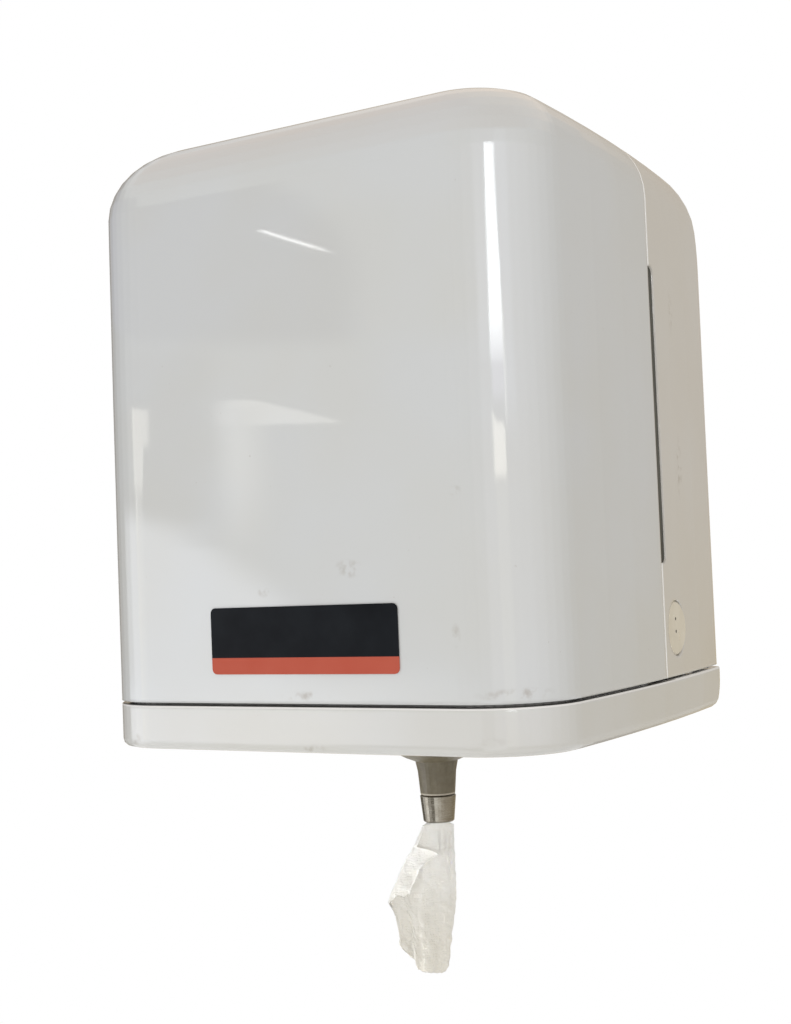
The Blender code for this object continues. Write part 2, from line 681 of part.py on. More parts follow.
    # Openings: tongues, pins, buttons, windows and wall screws
    for sign in SIDES.values():
        centre = sign * HINGE_SPACING / 2
        half = TONGUE_WIDTH / 2 + TONGUE_SIDE_GAP
        cut(casing, box("tongue_slot", (centre - half, PARTING_Y - OVERRUN, HINGE_Z - HINGE_DROP),
                        (centre + half, HINGE_Y + KNUCKLE_RADIUS + TONGUE_END_GAP, HOUSING_TOP + OVERRUN)))
        reach = half + HINGE_LUG_THICKNESS + OVERRUN
        cut(casing, cylinder("pin_bore", "X", (HINGE_Y, HINGE_Z), HINGE_PIN_RADIUS + RUNNING_FIT,
                             centre - reach, centre + reach, BORE_STEPS))
        span = on_side(sign, well_floor_x() - OVERRUN, HALF_WIDTH + OVERRUN)
        cut(casing, cylinder("button_bore", "X", (BUTTON_Y, BUTTON_Z), BUTTON_RADIUS + BUTTON_GAP,
                             span[0], span[1]))
        span = on_side(sign, window_inner_x() + WINDOW_THICKNESS / 2, HALF_WIDTH + OVERRUN)
        notch = rounded_outline((PARTING_Y - OVERRUN, WINDOW_LOW),
                                (PARTING_Y + WINDOW_SLOT_WIDTH, WINDOW_HIGH), WINDOW_CORNER_RADIUS)
        cut(casing, prism("window_slot", notch, "X", span[0], span[1]))
        for z in (KEYHOLE_HEIGHT, -KEYHOLE_DROP):
            x = sign * KEYHOLE_SPACING / 2
            hole = cylinder("keyhole", "Y", (x, z), KEYHOLE_HEAD_RADIUS, inner_back - OVERRUN, OVERRUN,
                            SMALL_STEPS)
            neck = rounded_outline((x - KEYHOLE_NECK_RADIUS, z), (x + KEYHOLE_NECK_RADIUS, z + KEYHOLE_RISE),
                                   KEYHOLE_NECK_RADIUS * KEYHOLE_NECK_ROUND_SHARE)
            join(hole, prism("neck", neck, "Y", inner_back - OVERRUN, OVERRUN))
            cut(casing, hole)
    return finish(casing, "rear_casing", look)


def boss_x(depth):
    return side_x(-depth, WALL) - BOSS_INSET


def window_inner_x():
    """The smoked strip's inner face: the strip lies flat just inside the sloping wall."""
    return side_x(window_rear_y(), WALL) - SEAT - WINDOW_THICKNESS


def window_rear_y():
    return PARTING_Y + WINDOW_SLOT_WIDTH + WINDOW_OVERLAP


def window_low_z():
    return WINDOW_LOW - WINDOW_OVERLAP


def window_high_z():
    return WINDOW_HIGH + WINDOW_OVERLAP


def make_window(name, sign, look):
    """A strip behind the wall, with a raised face that fills the slot to just below the outside."""
    front = PARTING_Y + PARTING_GAP / 2
    rear = PARTING_Y + WINDOW_SLOT_WIDTH
    span = on_side(sign, window_inner_x(), window_inner_x() + WINDOW_THICKNESS)
    strip = box(name, (span[0], front, window_low_z()), (span[1], window_rear_y(), window_high_z()))
    span = on_side(sign, window_inner_x() + WINDOW_THICKNESS / 2, side_x(rear) - WINDOW_RECESS)
    outline = rounded_outline((PARTING_Y - OVERRUN, WINDOW_LOW + SEAT), (rear - SEAT, WINDOW_HIGH - SEAT),
                              WINDOW_CORNER_RADIUS - SEAT)
    face = prism("face", outline, "X", span[0], span[1])
    cut(face, box("before_parting", (-HOUSING_WIDTH, -HOUSING_DEPTH, TRAY_BOTTOM),
                  (HOUSING_WIDTH, front, HOUSING_TOP)))
    join(strip, face)
    return finish(strip, name, look, smooth=False)


def tray_ring(z, inset, z_floor):
    """The tray's outline, drawn in round its lower edge and more so at the wall."""
    drawn = quarter(z_floor + TRAY_EDGE_RADIUS - z, TRAY_EDGE_RADIUS)
    drawn_rear = quarter(z_floor + TRAY_REAR_EDGE_RADIUS - z, TRAY_REAR_EDGE_RADIUS)
    return plan_ring(z, HALF_WIDTH - inset - drawn, -HOUSING_DEPTH + inset + drawn, -inset - drawn_rear,
                     FRONT_CORNER_RADIUS - inset - drawn,
                     max(TRAY_REAR_CORNER_RADIUS - inset, TRAY_REAR_CORNER_RADIUS / 2), TRAY_SIDE_TAPER)


def tray_heights(low, high):
    heights = []
    for i in range(TRAY_EDGE_STEPS + 1):
        heights.append(low + TRAY_REAR_EDGE_RADIUS * (1 - math.cos(i * math.pi / 2 / TRAY_EDGE_STEPS)))
    return heights + [high]


def radial_web(name, angle, inner, outer, thickness, low, high):
    centre = Vector((0, OUTLET_Y, 0))
    along = Vector((math.cos(angle), math.sin(angle), 0))
    across = Vector((-along.y, along.x, 0)) * thickness / 2
    corners = (along * inner - across, along * outer - across,
               along * outer + across, along * inner + across)
    rings = [[centre + corner + Vector((0, 0, z)) for corner in corners] for z in (low, high)]
    return loft(name, rings)


def radial_prism(name, angle, outline, thickness):
    """An outline of (radius, height) points, thickened square to its own upright plane."""
    centre = Vector((0, OUTLET_Y, 0))
    along = Vector((math.cos(angle), math.sin(angle), 0))
    across = Vector((-along.y, along.x, 0)) * thickness / 2
    rings = []
    for offset in (-across, across):
        rings.append([centre + along * r + Vector((0, 0, z)) + offset for r, z in outline])
    return loft(name, rings)


def make_tray(look):
    heights = tray_heights(TRAY_BOTTOM, TRAY_TOP - TRAY_TOP_CHAMFER)
    rings = [tray_ring(z, 0.0, TRAY_BOTTOM) for z in heights]
    tray = loft("tray", rings + [tray_ring(TRAY_TOP, TRAY_TOP_CHAMFER, TRAY_BOTTOM)])
    # The hollow underside, less its collar, webs and screw seats
    levels = (TRAY_BOTTOM - OVERRUN, TRAY_BOTTOM + TRAY_REAR_EDGE_RADIUS, DECK_BOTTOM)
    under = loft("tray_hollow", [plan_ring(z, HALF_WIDTH - TRAY_WALL - TRAY_EDGE_RADIUS / 2,
                                           -HOUSING_DEPTH + TRAY_WALL + TRAY_EDGE_RADIUS / 2,
                                           -TRAY_REAR_EDGE_RADIUS,
                                           FRONT_CORNER_RADIUS - TRAY_WALL - TRAY_EDGE_RADIUS / 2,
                                           TRAY_REAR_CORNER_RADIUS, TRAY_SIDE_TAPER) for z in levels])
    collar_radius = OUTLET_MOUTH_RADIUS + COLLAR_GAP
    web_low = DECK_BOTTOM - TRAY_WEB_DEPTH
    for i in range(TRAY_WEB_COUNT):
        angle = (i + 0.5) * math.tau / TRAY_WEB_COUNT
        cut(under, radial_web("web", angle, collar_radius + COLLAR_THICKNESS / 2, HOUSING_DEPTH,
                              TRAY_WEB_THICKNESS, web_low, TRAY_TOP))
    low = DECK_BOTTOM - COLLAR_DEPTH
    ring = turned("collar", (0, OUTLET_Y), ((collar_radius, low), (collar_radius + COLLAR_THICKNESS, low),
                                            (collar_radius + COLLAR_THICKNESS, TRAY_TOP),
                                            (collar_radius, TRAY_TOP)))
    cut(under, ring)
    cut(tray, under)
    # Raised rest for the roll and the dust lip behind the cover's lower edge
    for i in range(ROLL_RIB_COUNT):
        angle = (i + 0.5) * math.tau / ROLL_RIB_COUNT
        outer = ROLL_RADIUS - ROLL_RIB_MARGIN
        join(tray, radial_web("roll_rib", angle, ROLL_RIB_INNER, outer, ROLL_RIB_THICKNESS,
                              TRAY_TOP - DECK_THICKNESS / 2, TRAY_TOP + ROLL_RIB_HEIGHT))
    lip = [loft("lip", [plan_ring(z, HALF_WIDTH - inset, -HOUSING_DEPTH + inset, -inset,
                                  FRONT_CORNER_RADIUS - inset, TRAY_REAR_CORNER_RADIUS, SIDE_TAPER)
                        for z in (TRAY_TOP - DECK_THICKNESS / 2 - extra,
                                  TRAY_TOP + SEAM_GAP + TRAY_LIP_HEIGHT + extra)])
           for inset, extra in ((TRAY_LIP_INSET, 0.0), (TRAY_LIP_INSET + TRAY_LIP_THICKNESS, OVERRUN))]
    cut(lip[0], lip[1])
    cut(lip[0], box("lip_end", (-HOUSING_WIDTH, catch_base_front(), TRAY_BOTTOM),
                    (HOUSING_WIDTH, HOUSING_DEPTH, HOUSING_TOP)))
    join(tray, lip[0])
    mouth = OUTLET_MOUTH_RADIUS + SEAT
    cut(tray, cylinder("mouth", "Z", (0, OUTLET_Y), mouth, DECK_BOTTOM - OVERRUN, TRAY_TOP + OVERRUN))
    for sign in SIDES.values():
        for depth in (BOSS_REAR_DEPTH, BOSS_FRONT_DEPTH):
            place = (sign * boss_x(depth), -depth)
            cut(tray, cylinder("screw_hole", "Z", place, SCREW_RADIUS + SEAT, TRAY_BOTTOM - OVERRUN,
                               TRAY_TOP + OVERRUN, SMALL_STEPS))
            cut(tray, cylinder("screw_pocket", "Z", place, SCREW_HEAD_RADIUS + SEAT, TRAY_BOTTOM - OVERRUN,
                               DECK_BOTTOM, BORE_STEPS))
    return finish(tray, "base_tray", look)


def make_screw(name, place, look):
    """A pan-headed screw with a square drive recess, put in from below."""
    head_top = DECK_BOTTOM - SEAT
    shank = cylinder(name, "Z", place, SCREW_RADIUS, head_top - SCREW_HEAD_HEIGHT / 2,
                     TRAY_TOP + SCREW_LENGTH - SEAT, SMALL_STEPS)
    join(shank, cylinder("head", "Z", place, SCREW_HEAD_RADIUS, head_top - SCREW_HEAD_HEIGHT, head_top,
                         SMALL_STEPS))
    cut(shank, cylinder("drive", "Z", place, SCREW_DRIVE_RADIUS, head_top - SCREW_HEAD_HEIGHT - OVERRUN,
                        head_top - SCREW_HEAD_HEIGHT + SCREW_DRIVE_DEPTH, 4))
    return finish(shank, name, look)


def flare_radius(rise, depth, end_radius, inset):
    """The outlet's radius at a rise above its end: a neck that runs by a fillet into a round bowl."""
    along = min(rise / OUTLET_NECK_LENGTH, 1)
    neck = end_radius + (OUTLET_NECK_RADIUS - inset - end_radius) * along
    fall = max(depth - rise, 0) / (depth - OUTLET_NECK_LENGTH - inset)
    bowl = (outlet_bowl_radius() - inset) * math.sqrt(max(1 - fall ** 2, 0))
    near = max(OUTLET_FILLET - abs(neck - bowl), 0)
    return max(neck, bowl) + near ** 2 / (4 * OUTLET_FILLET)


def flare_points(end, depth, end_radius, inset):
    """The outlet's outside, or its inside at an inset, from its end up to the tray."""
    rises = [OUTLET_NECK_LENGTH * i / OUTLET_NECK_STEPS for i in range(OUTLET_NECK_STEPS)]
    first = math.asin((OUTLET_NECK_RADIUS - inset) / (outlet_bowl_radius() - inset))
    for i in range(OUTLET_STEPS + 1):
        angle = first + (math.pi / 2 - first) * i / OUTLET_STEPS
        rises.append(depth - (depth - OUTLET_NECK_LENGTH - inset) * math.cos(angle))
    return [(flare_radius(rise, depth, end_radius, inset), end + rise) for rise in rises]


def outlet_bowl_radius():
    return OUTLET_MOUTH_RADIUS - SNAP_THICKNESS - SNAP_FREE_GAP


def make_outlet(look):
    seat = TRAY_TOP + SEAT
    top = seat + OUTLET_FLANGE_THICKNESS
    end = RING_TOP + SEAT
    bore = OUTLET_BORE_RADIUS
    outer = flare_points(end, seat - end, OUTLET_END_RADIUS, 0)
    inner = list(reversed(flare_points(end, top - end, bore, OUTLET_WALL)))
    spigot = end - OUTLET_SPIGOT_LENGTH
    profile = [(OUTLET_SPIGOT_RADIUS, spigot), (OUTLET_SPIGOT_RADIUS, end)] + outer
    profile += [(OUTLET_FLANGE_RADIUS, seat), (OUTLET_FLANGE_RADIUS, top)] + inner
    profile += [(bore, spigot)]
    outlet = turned("outlet", (0, OUTLET_Y), profile)
    # Snap legs reach through the deck and catch under it
    barb_top = DECK_BOTTOM - SEAT
    for i in range(SNAP_COUNT):
        angle = (i + SNAP_TURN_SHARE) * math.tau / SNAP_COUNT
        inner_radius = OUTLET_MOUTH_RADIUS - SNAP_THICKNESS
        leg_radius = OUTLET_MOUTH_RADIUS - SEAT
        hook = ((inner_radius, seat + OUTLET_FLANGE_THICKNESS / 2),
                (inner_radius, barb_top - SNAP_BARB_HEIGHT),
                (leg_radius, barb_top - SNAP_BARB_HEIGHT), (leg_radius + SNAP_BARB, barb_top),
                (leg_radius, barb_top), (leg_radius, seat + OUTLET_FLANGE_THICKNESS / 2))
        join(outlet, radial_prism("snap_leg", angle, hook, SNAP_WIDTH))
    return finish(outlet, "outlet_flare", look)


def make_ring(look):
    bore = OUTLET_SPIGOT_RADIUS + SEAT
    shoulder = RING_TOP - OUTLET_SPIGOT_LENGTH - SEAT
    profile = ((RING_END_RADIUS - RING_EDGE, RING_BOTTOM), (RING_END_RADIUS, RING_BOTTOM + RING_EDGE),
               (RING_TOP_RADIUS, RING_TOP - RING_EDGE), (RING_TOP_RADIUS - RING_EDGE, RING_TOP),
               (bore, RING_TOP), (bore, shoulder), (RING_END_BORE, shoulder - RING_EDGE),
               (RING_END_BORE, RING_BOTTOM + RING_EDGE), (RING_END_BORE + RING_EDGE / 2, RING_BOTTOM))
    return finish(turned("ring", (0, OUTLET_Y), profile), "outlet_ring", look)


def make_button(name, sign, look, parent):
    face = button_face_x()
    back = face - BUTTON_DISC
    centre = (BUTTON_Y, BUTTON_Z)
    rim = BUTTON_RADIUS - BUTTON_BEVEL
    rings = []
    for x, radius in ((back - BUTTON_SKIRT_LENGTH, BUTTON_RADIUS), (face - BUTTON_BEVEL, BUTTON_RADIUS),
                      (face, rim)):
        rings.append([Vector((sign * x, a, b)) for a, b in disc_outline(centre, radius)])
    button = loft(name, rings)
    ends = on_side(sign, back - BUTTON_SKIRT_LENGTH - OVERRUN, back)
    cut(button, cylinder("skirt_bore", "X", centre, BUTTON_RADIUS - BUTTON_SKIRT_WALL, ends[0], ends[1]))
    ends = on_side(sign, hook_outer_x() - HOOK_STEM_GRIP, face - BUTTON_DISC / 2)
    join(button, cylinder("stem", "X", centre, BUTTON_STEM_RADIUS, ends[0], ends[1], BORE_STEPS))
    for height in (BUTTON_DOT_HIGH, -BUTTON_DOT_LOW):
        ends = on_side(sign, face - BUTTON_DOT_DEPTH, face + OVERRUN)
        cut(button, cylinder("dot", "X", (BUTTON_Y, BUTTON_Z + height), BUTTON_DOT_RADIUS, ends[0], ends[1],
                             SMALL_STEPS))
    ends = on_side(sign, face - BUTTON_DISC / 2, face + BUTTON_BAR_HEIGHT)
    bar_top = BUTTON_Z - BUTTON_DOT_LOW
    low = (BUTTON_Y + BUTTON_BAR_SIDE - BUTTON_BAR_WIDTH / 2, bar_top - BUTTON_BAR_LENGTH)
    high = (BUTTON_Y + BUTTON_BAR_SIDE + BUTTON_BAR_WIDTH / 2, bar_top)
    join(button, box("bar", (ends[0], *low), (ends[1], *high)))
    return finish(button, name, look, (sign * face, *centre), parent)


def make_well_cap(name, sign, look):
    """The cap on the well's inner end: it carries the spring and guides the button's stem."""
    floor = well_floor_x()
    bore = BUTTON_RADIUS + BUTTON_GAP
    centre = (BUTTON_Y, BUTTON_Z)
    ends = on_side(sign, floor - SEAT - WELL_CAP_THICKNESS, floor - SEAT)
    cap = cylinder(name, "X", centre, bore + WELL_WALL, ends[0], ends[1])
    ends = on_side(sign, floor - SEAT - WELL_CAP_THICKNESS / 2, floor + WELL_SPIGOT_LENGTH)
    spigot = cylinder("spigot", "X", centre, bore - SEAT, ends[0], ends[1])
    ends = on_side(sign, floor - SEAT, floor + OVERRUN)
    cut(spigot, cylinder("spigot_bore", "X", centre, bore - SEAT - WELL_SPIGOT_WALL, ends[0], ends[1]))
    join(cap, spigot)
    ends = on_side(sign, floor - 2 * OVERRUN, floor + OVERRUN)
    cut(cap, cylinder("stem_bore", "X", centre, BUTTON_STEM_RADIUS + SEAT, ends[0], ends[1], BORE_STEPS))
    return finish(cap, name, look)


def make_spring(name, sign, look):
    """A compression spring between the button's disc and the cap, as one unbroken tube."""
    start = well_floor_x() - SEAT + SPRING_WIRE + SEAT
    end = button_face_x() - BUTTON_DISC - SPRING_WIRE - SEAT
    steps = SPRING_TURNS * SPRING_POINTS
    points = []
    for i in range(steps + 1):
        angle = i * math.tau / SPRING_POINTS
        x = start + (end - start) * i / steps
        points.append(Vector((sign * x, BUTTON_Y + SPRING_RADIUS * math.cos(angle),
                              BUTTON_Z + SPRING_RADIUS * math.sin(angle))))
    apart = min((points[i] - points[i + SPRING_POINTS]).length for i in range(steps + 1 - SPRING_POINTS))
    print(name, "least gap between turns, mm:", round((apart - 2 * SPRING_WIRE) / MM, 2))
    curve = bpy.data.curves.new(name, "CURVE")
    curve.dimensions = "3D"
    curve.bevel_depth = SPRING_WIRE
    curve.bevel_resolution = 1
    curve.use_fill_caps = True
    line = curve.splines.new("POLY")
    line.points.add(len(points) - 1)
    for place, point in zip(line.points, points):
        place.co = (*point, 1)
    made = new_object(name, curve)
    curve.materials.append(look)
    return made


def make_hook(name, sign, look, parent):
    """A bar on the button's stem that rises past the cap and ends in a ramped nose."""
    outer = hook_outer_x()
    inner = outer - HOOK_THICKNESS
    front = BUTTON_Y - HOOK_REACH
    half = HOOK_BAR_HEIGHT / 2
    outline = ((BUTTON_Y - HOOK_BOSS_RADIUS, BUTTON_Z), (BUTTON_Y + HOOK_BOSS_RADIUS, BUTTON_Z),
               (BUTTON_Y + HOOK_BOSS_RADIUS, CATCH_Z - half), (BUTTON_Y + half, CATCH_Z + half),
               (front, CATCH_Z + half), (front, CATCH_Z - half),
               (BUTTON_Y - HOOK_BOSS_RADIUS, CATCH_Z - half - HOOK_BOSS_RADIUS / 2))
    ends = on_side(sign, inner, outer)
    hook = prism(name, outline, "X", ends[0], ends[1])
    centre = (BUTTON_Y, BUTTON_Z)
    ends = on_side(sign, outer - HOOK_BOSS_LENGTH, outer)
    join(hook, cylinder("boss", "X", centre, HOOK_BOSS_RADIUS, ends[0], ends[1], BORE_STEPS))
    ends = on_side(sign, outer - HOOK_STEM_GRIP - SEAT, outer + OVERRUN)
    cut(hook, cylinder("socket", "X", centre, BUTTON_STEM_RADIUS + SEAT, ends[0], ends[1], BORE_STEPS))
    # The nose, seen along Z: square behind, ramped in front
    ramp = ((inner + HOOK_THICKNESS / 2, front), (outer, front),
             (nose_tip_x(), front + NOSE_WIDTH * NOSE_RAMP_SHARE),
            (nose_tip_x(), nose_rear_y()), (inner + HOOK_THICKNESS / 2, nose_rear_y()))
    join(hook, prism("nose", mirrored(ramp, sign), "Z", CATCH_Z - half, CATCH_Z + half))
    return finish(hook, name, look, (sign * outer, BUTTON_Y, BUTTON_Z), parent)


def make_catch(name, sign, look, parent):
    """A springy arm on the cover whose ledge snaps behind the hook's nose."""
    outer = catch_face_x() - SEAT
    inner = outer - CATCH_THICKNESS
    ledge_tip = nose_tip_x() - CATCH_ENGAGEMENT
    ledge_front = nose_rear_y() + CATCH_PLAY
    outline = ((outer, catch_base_front()), (outer, ledge_front + CATCH_LEDGE),
               (ledge_tip, ledge_front + CATCH_LEDGE / 2), (ledge_tip, ledge_front), (inner, ledge_front),
               (inner, catch_base_front()))
    half = HOOK_BAR_HEIGHT / 2 - SEAT
    arm = prism(name, mirrored(outline, sign), "Z", CATCH_Z - half, CATCH_Z + half)
    return finish(arm, name, look, (0, HINGE_Y, HINGE_Z), parent, smooth=False)


def make_hinge_pin(name, sign, look):
    centre = sign * HINGE_SPACING / 2
    half = TONGUE_WIDTH / 2 + TONGUE_SIDE_GAP + HINGE_LUG_THICKNESS
    pin = cylinder(name, "X", (HINGE_Y, HINGE_Z), HINGE_PIN_RADIUS, centre - half, centre + half, BORE_STEPS)
    return finish(pin, name, look)


def make_label(look, parent):
    low = (LABEL_SHIFT - LABEL_WIDTH / 2, SEAM_Z + LABEL_LOW_EDGE)
    high = (LABEL_SHIFT + LABEL_WIDTH / 2, low[1] + LABEL_HEIGHT)
    face = -HOUSING_DEPTH - LABEL_GAP
    outline = rounded_outline(low, high, LABEL_CORNER_RADIUS)
    label = prism("label", outline, "Y", face - LABEL_THICKNESS, face)
    return finish(label, "front_label", look, (0, HINGE_Y, HINGE_Z), parent, smooth=False)


def make_roll(look):
    bottom = TRAY_TOP + ROLL_RIB_HEIGHT + SEAT
    top = bottom + ROLL_LENGTH
    profile = ((ROLL_BORE_RADIUS, bottom + ROLL_EDGE), (ROLL_BORE_RADIUS + ROLL_EDGE, bottom),
               (ROLL_RADIUS - ROLL_EDGE, bottom), (ROLL_RADIUS, bottom + ROLL_EDGE),
               (ROLL_RADIUS, top - ROLL_EDGE), (ROLL_RADIUS - ROLL_EDGE, top),
               (ROLL_BORE_RADIUS + ROLL_EDGE, top), (ROLL_BORE_RADIUS, top - ROLL_EDGE))
    return finish(turned("roll", (0, OUTLET_Y), profile, ROLL_STEPS), "paper_roll", look)


def feed_section(centre, along, radius, twist):
    """A folded strand's cross-section, lobed and square to the way it runs."""
    side = Vector((0, 1, 0)).cross(along).normalized()
    other = along.cross(side).normalized()
    ring = []
    for i in range(FEED_POINTS):
        angle = i * math.tau / FEED_POINTS
        reach = radius + FEED_FOLD * math.cos(FEED_FOLD_COUNT * angle + twist) * radius / FEED_RADIUS
        ring.append(centre + (side * math.cos(angle) + other * math.sin(angle)) * reach)
    return ring


def make_feed(look):
    """The sheet drawn from the roll's inner wall, gathered down the flare to the ring."""
    start_z = TRAY_TOP + FEED_START_HEIGHT
    end_z = RING_BOTTOM + TAIL_NECK + SEAT
    bend = ROLL_BORE_RADIUS - FEED_RADIUS - FEED_FOLD - SEAT
    rings = []
    for i in range(FEED_STEPS + 1):
        share = i / FEED_STEPS
        z = start_z + (end_z - start_z) * share
        fall = (z - TRAY_TOP) / FEED_START_HEIGHT
        offset = bend * max(0.0, fall) ** 2
        slope = 2 * bend * max(0.0, fall) / FEED_START_HEIGHT
        along = Vector((-slope, 0, -1)).normalized()
        neck = OUTLET_BORE_RADIUS - SEAT - FEED_FOLD
        radius = min(FEED_RADIUS, neck)
        centre = Vector((offset, OUTLET_Y, z))
        rings.append(feed_section(centre, along, radius, share * math.tau))
    return finish(loft("feed", rings), "paper_feed", look)


def table(shares, places, at):
    """Reads a table of shares smoothly between its rows."""
    for k in range(len(places) - 1):
        if at <= places[k + 1]:
            part = (at - places[k]) / (places[k + 1] - places[k])
            return shares[k] + (shares[k + 1] - shares[k]) * part
    return shares[-1]


def make_tail(look):
    """The hanging end of the sheet: pleats gathered in the ring that open out as they fall."""
    across = Vector((math.cos(TAIL_TURN), math.sin(TAIL_TURN), 0))
    toward = Vector((math.sin(TAIL_TURN), -math.cos(TAIL_TURN), 0))
    start = RING_BOTTOM - TAIL_NECK
    heights = [RING_BOTTOM + TAIL_NECK, RING_BOTTOM - SEAT]
    heights += [start - (TAIL_LENGTH - TAIL_NECK) * i / TAIL_STEPS_DOWN for i in range(TAIL_STEPS_DOWN + 1)]
    rings = []
    for z in heights:
        share = max(0.0, (RING_BOTTOM - z) / TAIL_LENGTH)
        left = -TAIL_REACH * table(TAIL_LEFT_SHARES, TAIL_DROP_SHARES, share)
        right = TAIL_REACH * table(TAIL_RIGHT_SHARES, TAIL_DROP_SHARES, share)
        inside = 1.0 if z > start + SEAT else 0.0
        left += (-TAIL_NECK_RADIUS - left) * inside
        right += (TAIL_NECK_RADIUS - right) * inside
        fold = TAIL_FOLD_DEPTH * min(1.0, TAIL_NECK_RADIUS / TAIL_FOLD_DEPTH / 2 + share)
        front_row = []
        back_row = []
        for k in range(TAIL_STEPS_ACROSS + 1):
            part = k / TAIL_STEPS_ACROSS
            u = left + (right - left) * part
            wave = math.sin(part * TAIL_FOLD_COUNT * math.tau + share)
            bulge = fold * wave * math.sin(part * math.pi) ** 0.5
            middle = Vector((0, OUTLET_Y, z)) + across * u + toward * bulge
            half = TAIL_SHEET / 2 + TAIL_SHEET * inside
            front_row.append(middle + toward * half)
            back_row.append(middle - toward * half)
        rings.append(front_row + list(reversed(back_row)))
    return finish(loft("tail", rings), "paper_tail", look)


def build():
    clear_scene()
    white = material("gloss_white_cover", (0.84, 0.84, 0.83), 0.12)
    casing_white = material("gloss_white_casing", (0.82, 0.81, 0.78), 0.16)
    tray_white = material("gloss_white_tray", (0.83, 0.83, 0.81), 0.18)
    smoked = material("smoked_strip", (0.08, 0.08, 0.09), 0.2)
    button_cream = material("button_cream", (0.78, 0.74, 0.66), 0.3)
    grey_brown = material("outlet_moulding", (0.36, 0.33, 0.28), 0.4)
    steel = material("turned_steel", (0.62, 0.60, 0.57), 0.25, 1.0)
    natural = material("natural_nylon", (0.75, 0.73, 0.68), 0.45)
    spring_wire = material("spring_wire", (0.5, 0.5, 0.5), 0.3, 1.0)
    zinc = material("zinc_plated_steel", (0.6, 0.6, 0.62), 0.3, 1.0)
    print_black = material("label_film", (0.012, 0.013, 0.018), 0.35)
    tissue = material("tissue", (0.86, 0.84, 0.78), 0.9)
    hinge = axis_empty("cover_hinge_axis", (0, HINGE_Y, HINGE_Z))
    make_cover(white, hinge)
    make_casing(casing_white)
    make_tray(tray_white)
    make_outlet(grey_brown)
    make_ring(steel)
    make_label(print_black, hinge)
    for side, sign in SIDES.items():
        slide = axis_empty("button_axis_" + side, (sign * button_face_x(), BUTTON_Y, BUTTON_Z))
        make_button("push_button_" + side, sign, button_cream, slide)
        make_hook("latch_hook_" + side, sign, natural, slide)
        make_well_cap("well_cap_" + side, sign, natural)
        make_spring("latch_spring_" + side, sign, spring_wire)
        make_catch("catch_arm_" + side, sign, natural, hinge)
        make_window("level_window_" + side, sign, smoked)
        make_hinge_pin("hinge_pin_" + side, sign, zinc)
        for place, depth in (("rear", BOSS_REAR_DEPTH), ("front", BOSS_FRONT_DEPTH)):
            make_screw("tray_screw_" + side + "_" + place, (sign * boss_x(depth), -depth), zinc)
    make_roll(tissue)
    make_feed(tissue)
    make_tail(tissue)


build()
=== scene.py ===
"""Looks of a wall-mounted centre-feed paper towel dispenser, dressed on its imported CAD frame."""
import math

import bmesh
import bpy
import numpy as np
from mathutils import Matrix, Vector, noise


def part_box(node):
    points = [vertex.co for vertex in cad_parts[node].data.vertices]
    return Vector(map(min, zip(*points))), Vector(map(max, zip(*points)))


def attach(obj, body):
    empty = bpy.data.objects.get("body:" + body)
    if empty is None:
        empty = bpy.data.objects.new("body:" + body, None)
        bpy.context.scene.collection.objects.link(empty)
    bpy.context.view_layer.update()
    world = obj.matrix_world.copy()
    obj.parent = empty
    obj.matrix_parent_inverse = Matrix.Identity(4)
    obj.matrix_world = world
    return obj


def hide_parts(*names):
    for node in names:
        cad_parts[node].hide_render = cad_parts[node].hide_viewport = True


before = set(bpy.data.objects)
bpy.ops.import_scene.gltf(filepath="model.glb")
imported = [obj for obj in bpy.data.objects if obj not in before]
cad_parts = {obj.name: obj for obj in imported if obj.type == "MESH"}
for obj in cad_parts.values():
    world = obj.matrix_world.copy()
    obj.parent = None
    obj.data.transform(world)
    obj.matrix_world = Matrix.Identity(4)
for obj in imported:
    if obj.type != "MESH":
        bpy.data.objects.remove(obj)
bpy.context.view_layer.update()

MM = 0.001

# The photographer's place: a phone held just below the middle of the housing, in front and to the right
CAMERA_PLACE = (0.40917, -0.83224, -0.06896)
CAMERA_RIGHT = (0.85214655, 0.52169777, -0.04095975)
CAMERA_UP = (0.0560654, -0.01319575, 0.99833989)
CAMERA_LENS = 55.27
CAMERA_SENSOR = 36

# The tray's rounded front corners and the ledge outside its lip, in millimetres
CORNER_RADIUS = 38.3
CORNER_CENTRE_X = 84.2
CORNER_CENTRE_Y = -216.2
LEDGE_WIDTH = 5.4
LEDGE_BLUR = 0.4

# The sheet, in millimetres. Its strand leans to the roll's bore above the tray and twists on its way
# down to the ring, where it is a tight bundle of pleats. Below the ring it opens, first across the
# view and then forward.
SHEET_WIDTH = 205
SHEET_THICKNESS = 0.25
STRAND_TOP = -30
STRAND_UPRIGHT = -125
STRAND_SHIFT = 23.5
STRAND_TWIST = 1.4 / 165
RING_EXIT = -195.4
NECK_RADIUS = 6.1
NECK_DEPTH = 5.0
NECK_PLEATS = 16
OPENS_WITHIN = 1.1
SPREADS_WITHIN = 16.0
LOOSE_WITHIN = 20
SHEET_TURN = math.radians(31.4)
CREPE_PITCH = 1.3

# How far the sheet's small waves move it, in millimetres
STRAND_WRINKLE = 0.25
HEM_TEAR = 0.9
SIDE_RIPPLE = 0.5
FRONT_RIPPLE = 0.7
CRUMPLE = 1.1

# Points across the sheet, down its strand and down its hanging end
SHEET_COLUMNS = 228
STRAND_ROWS = 56
HANGING_ROWS = 96

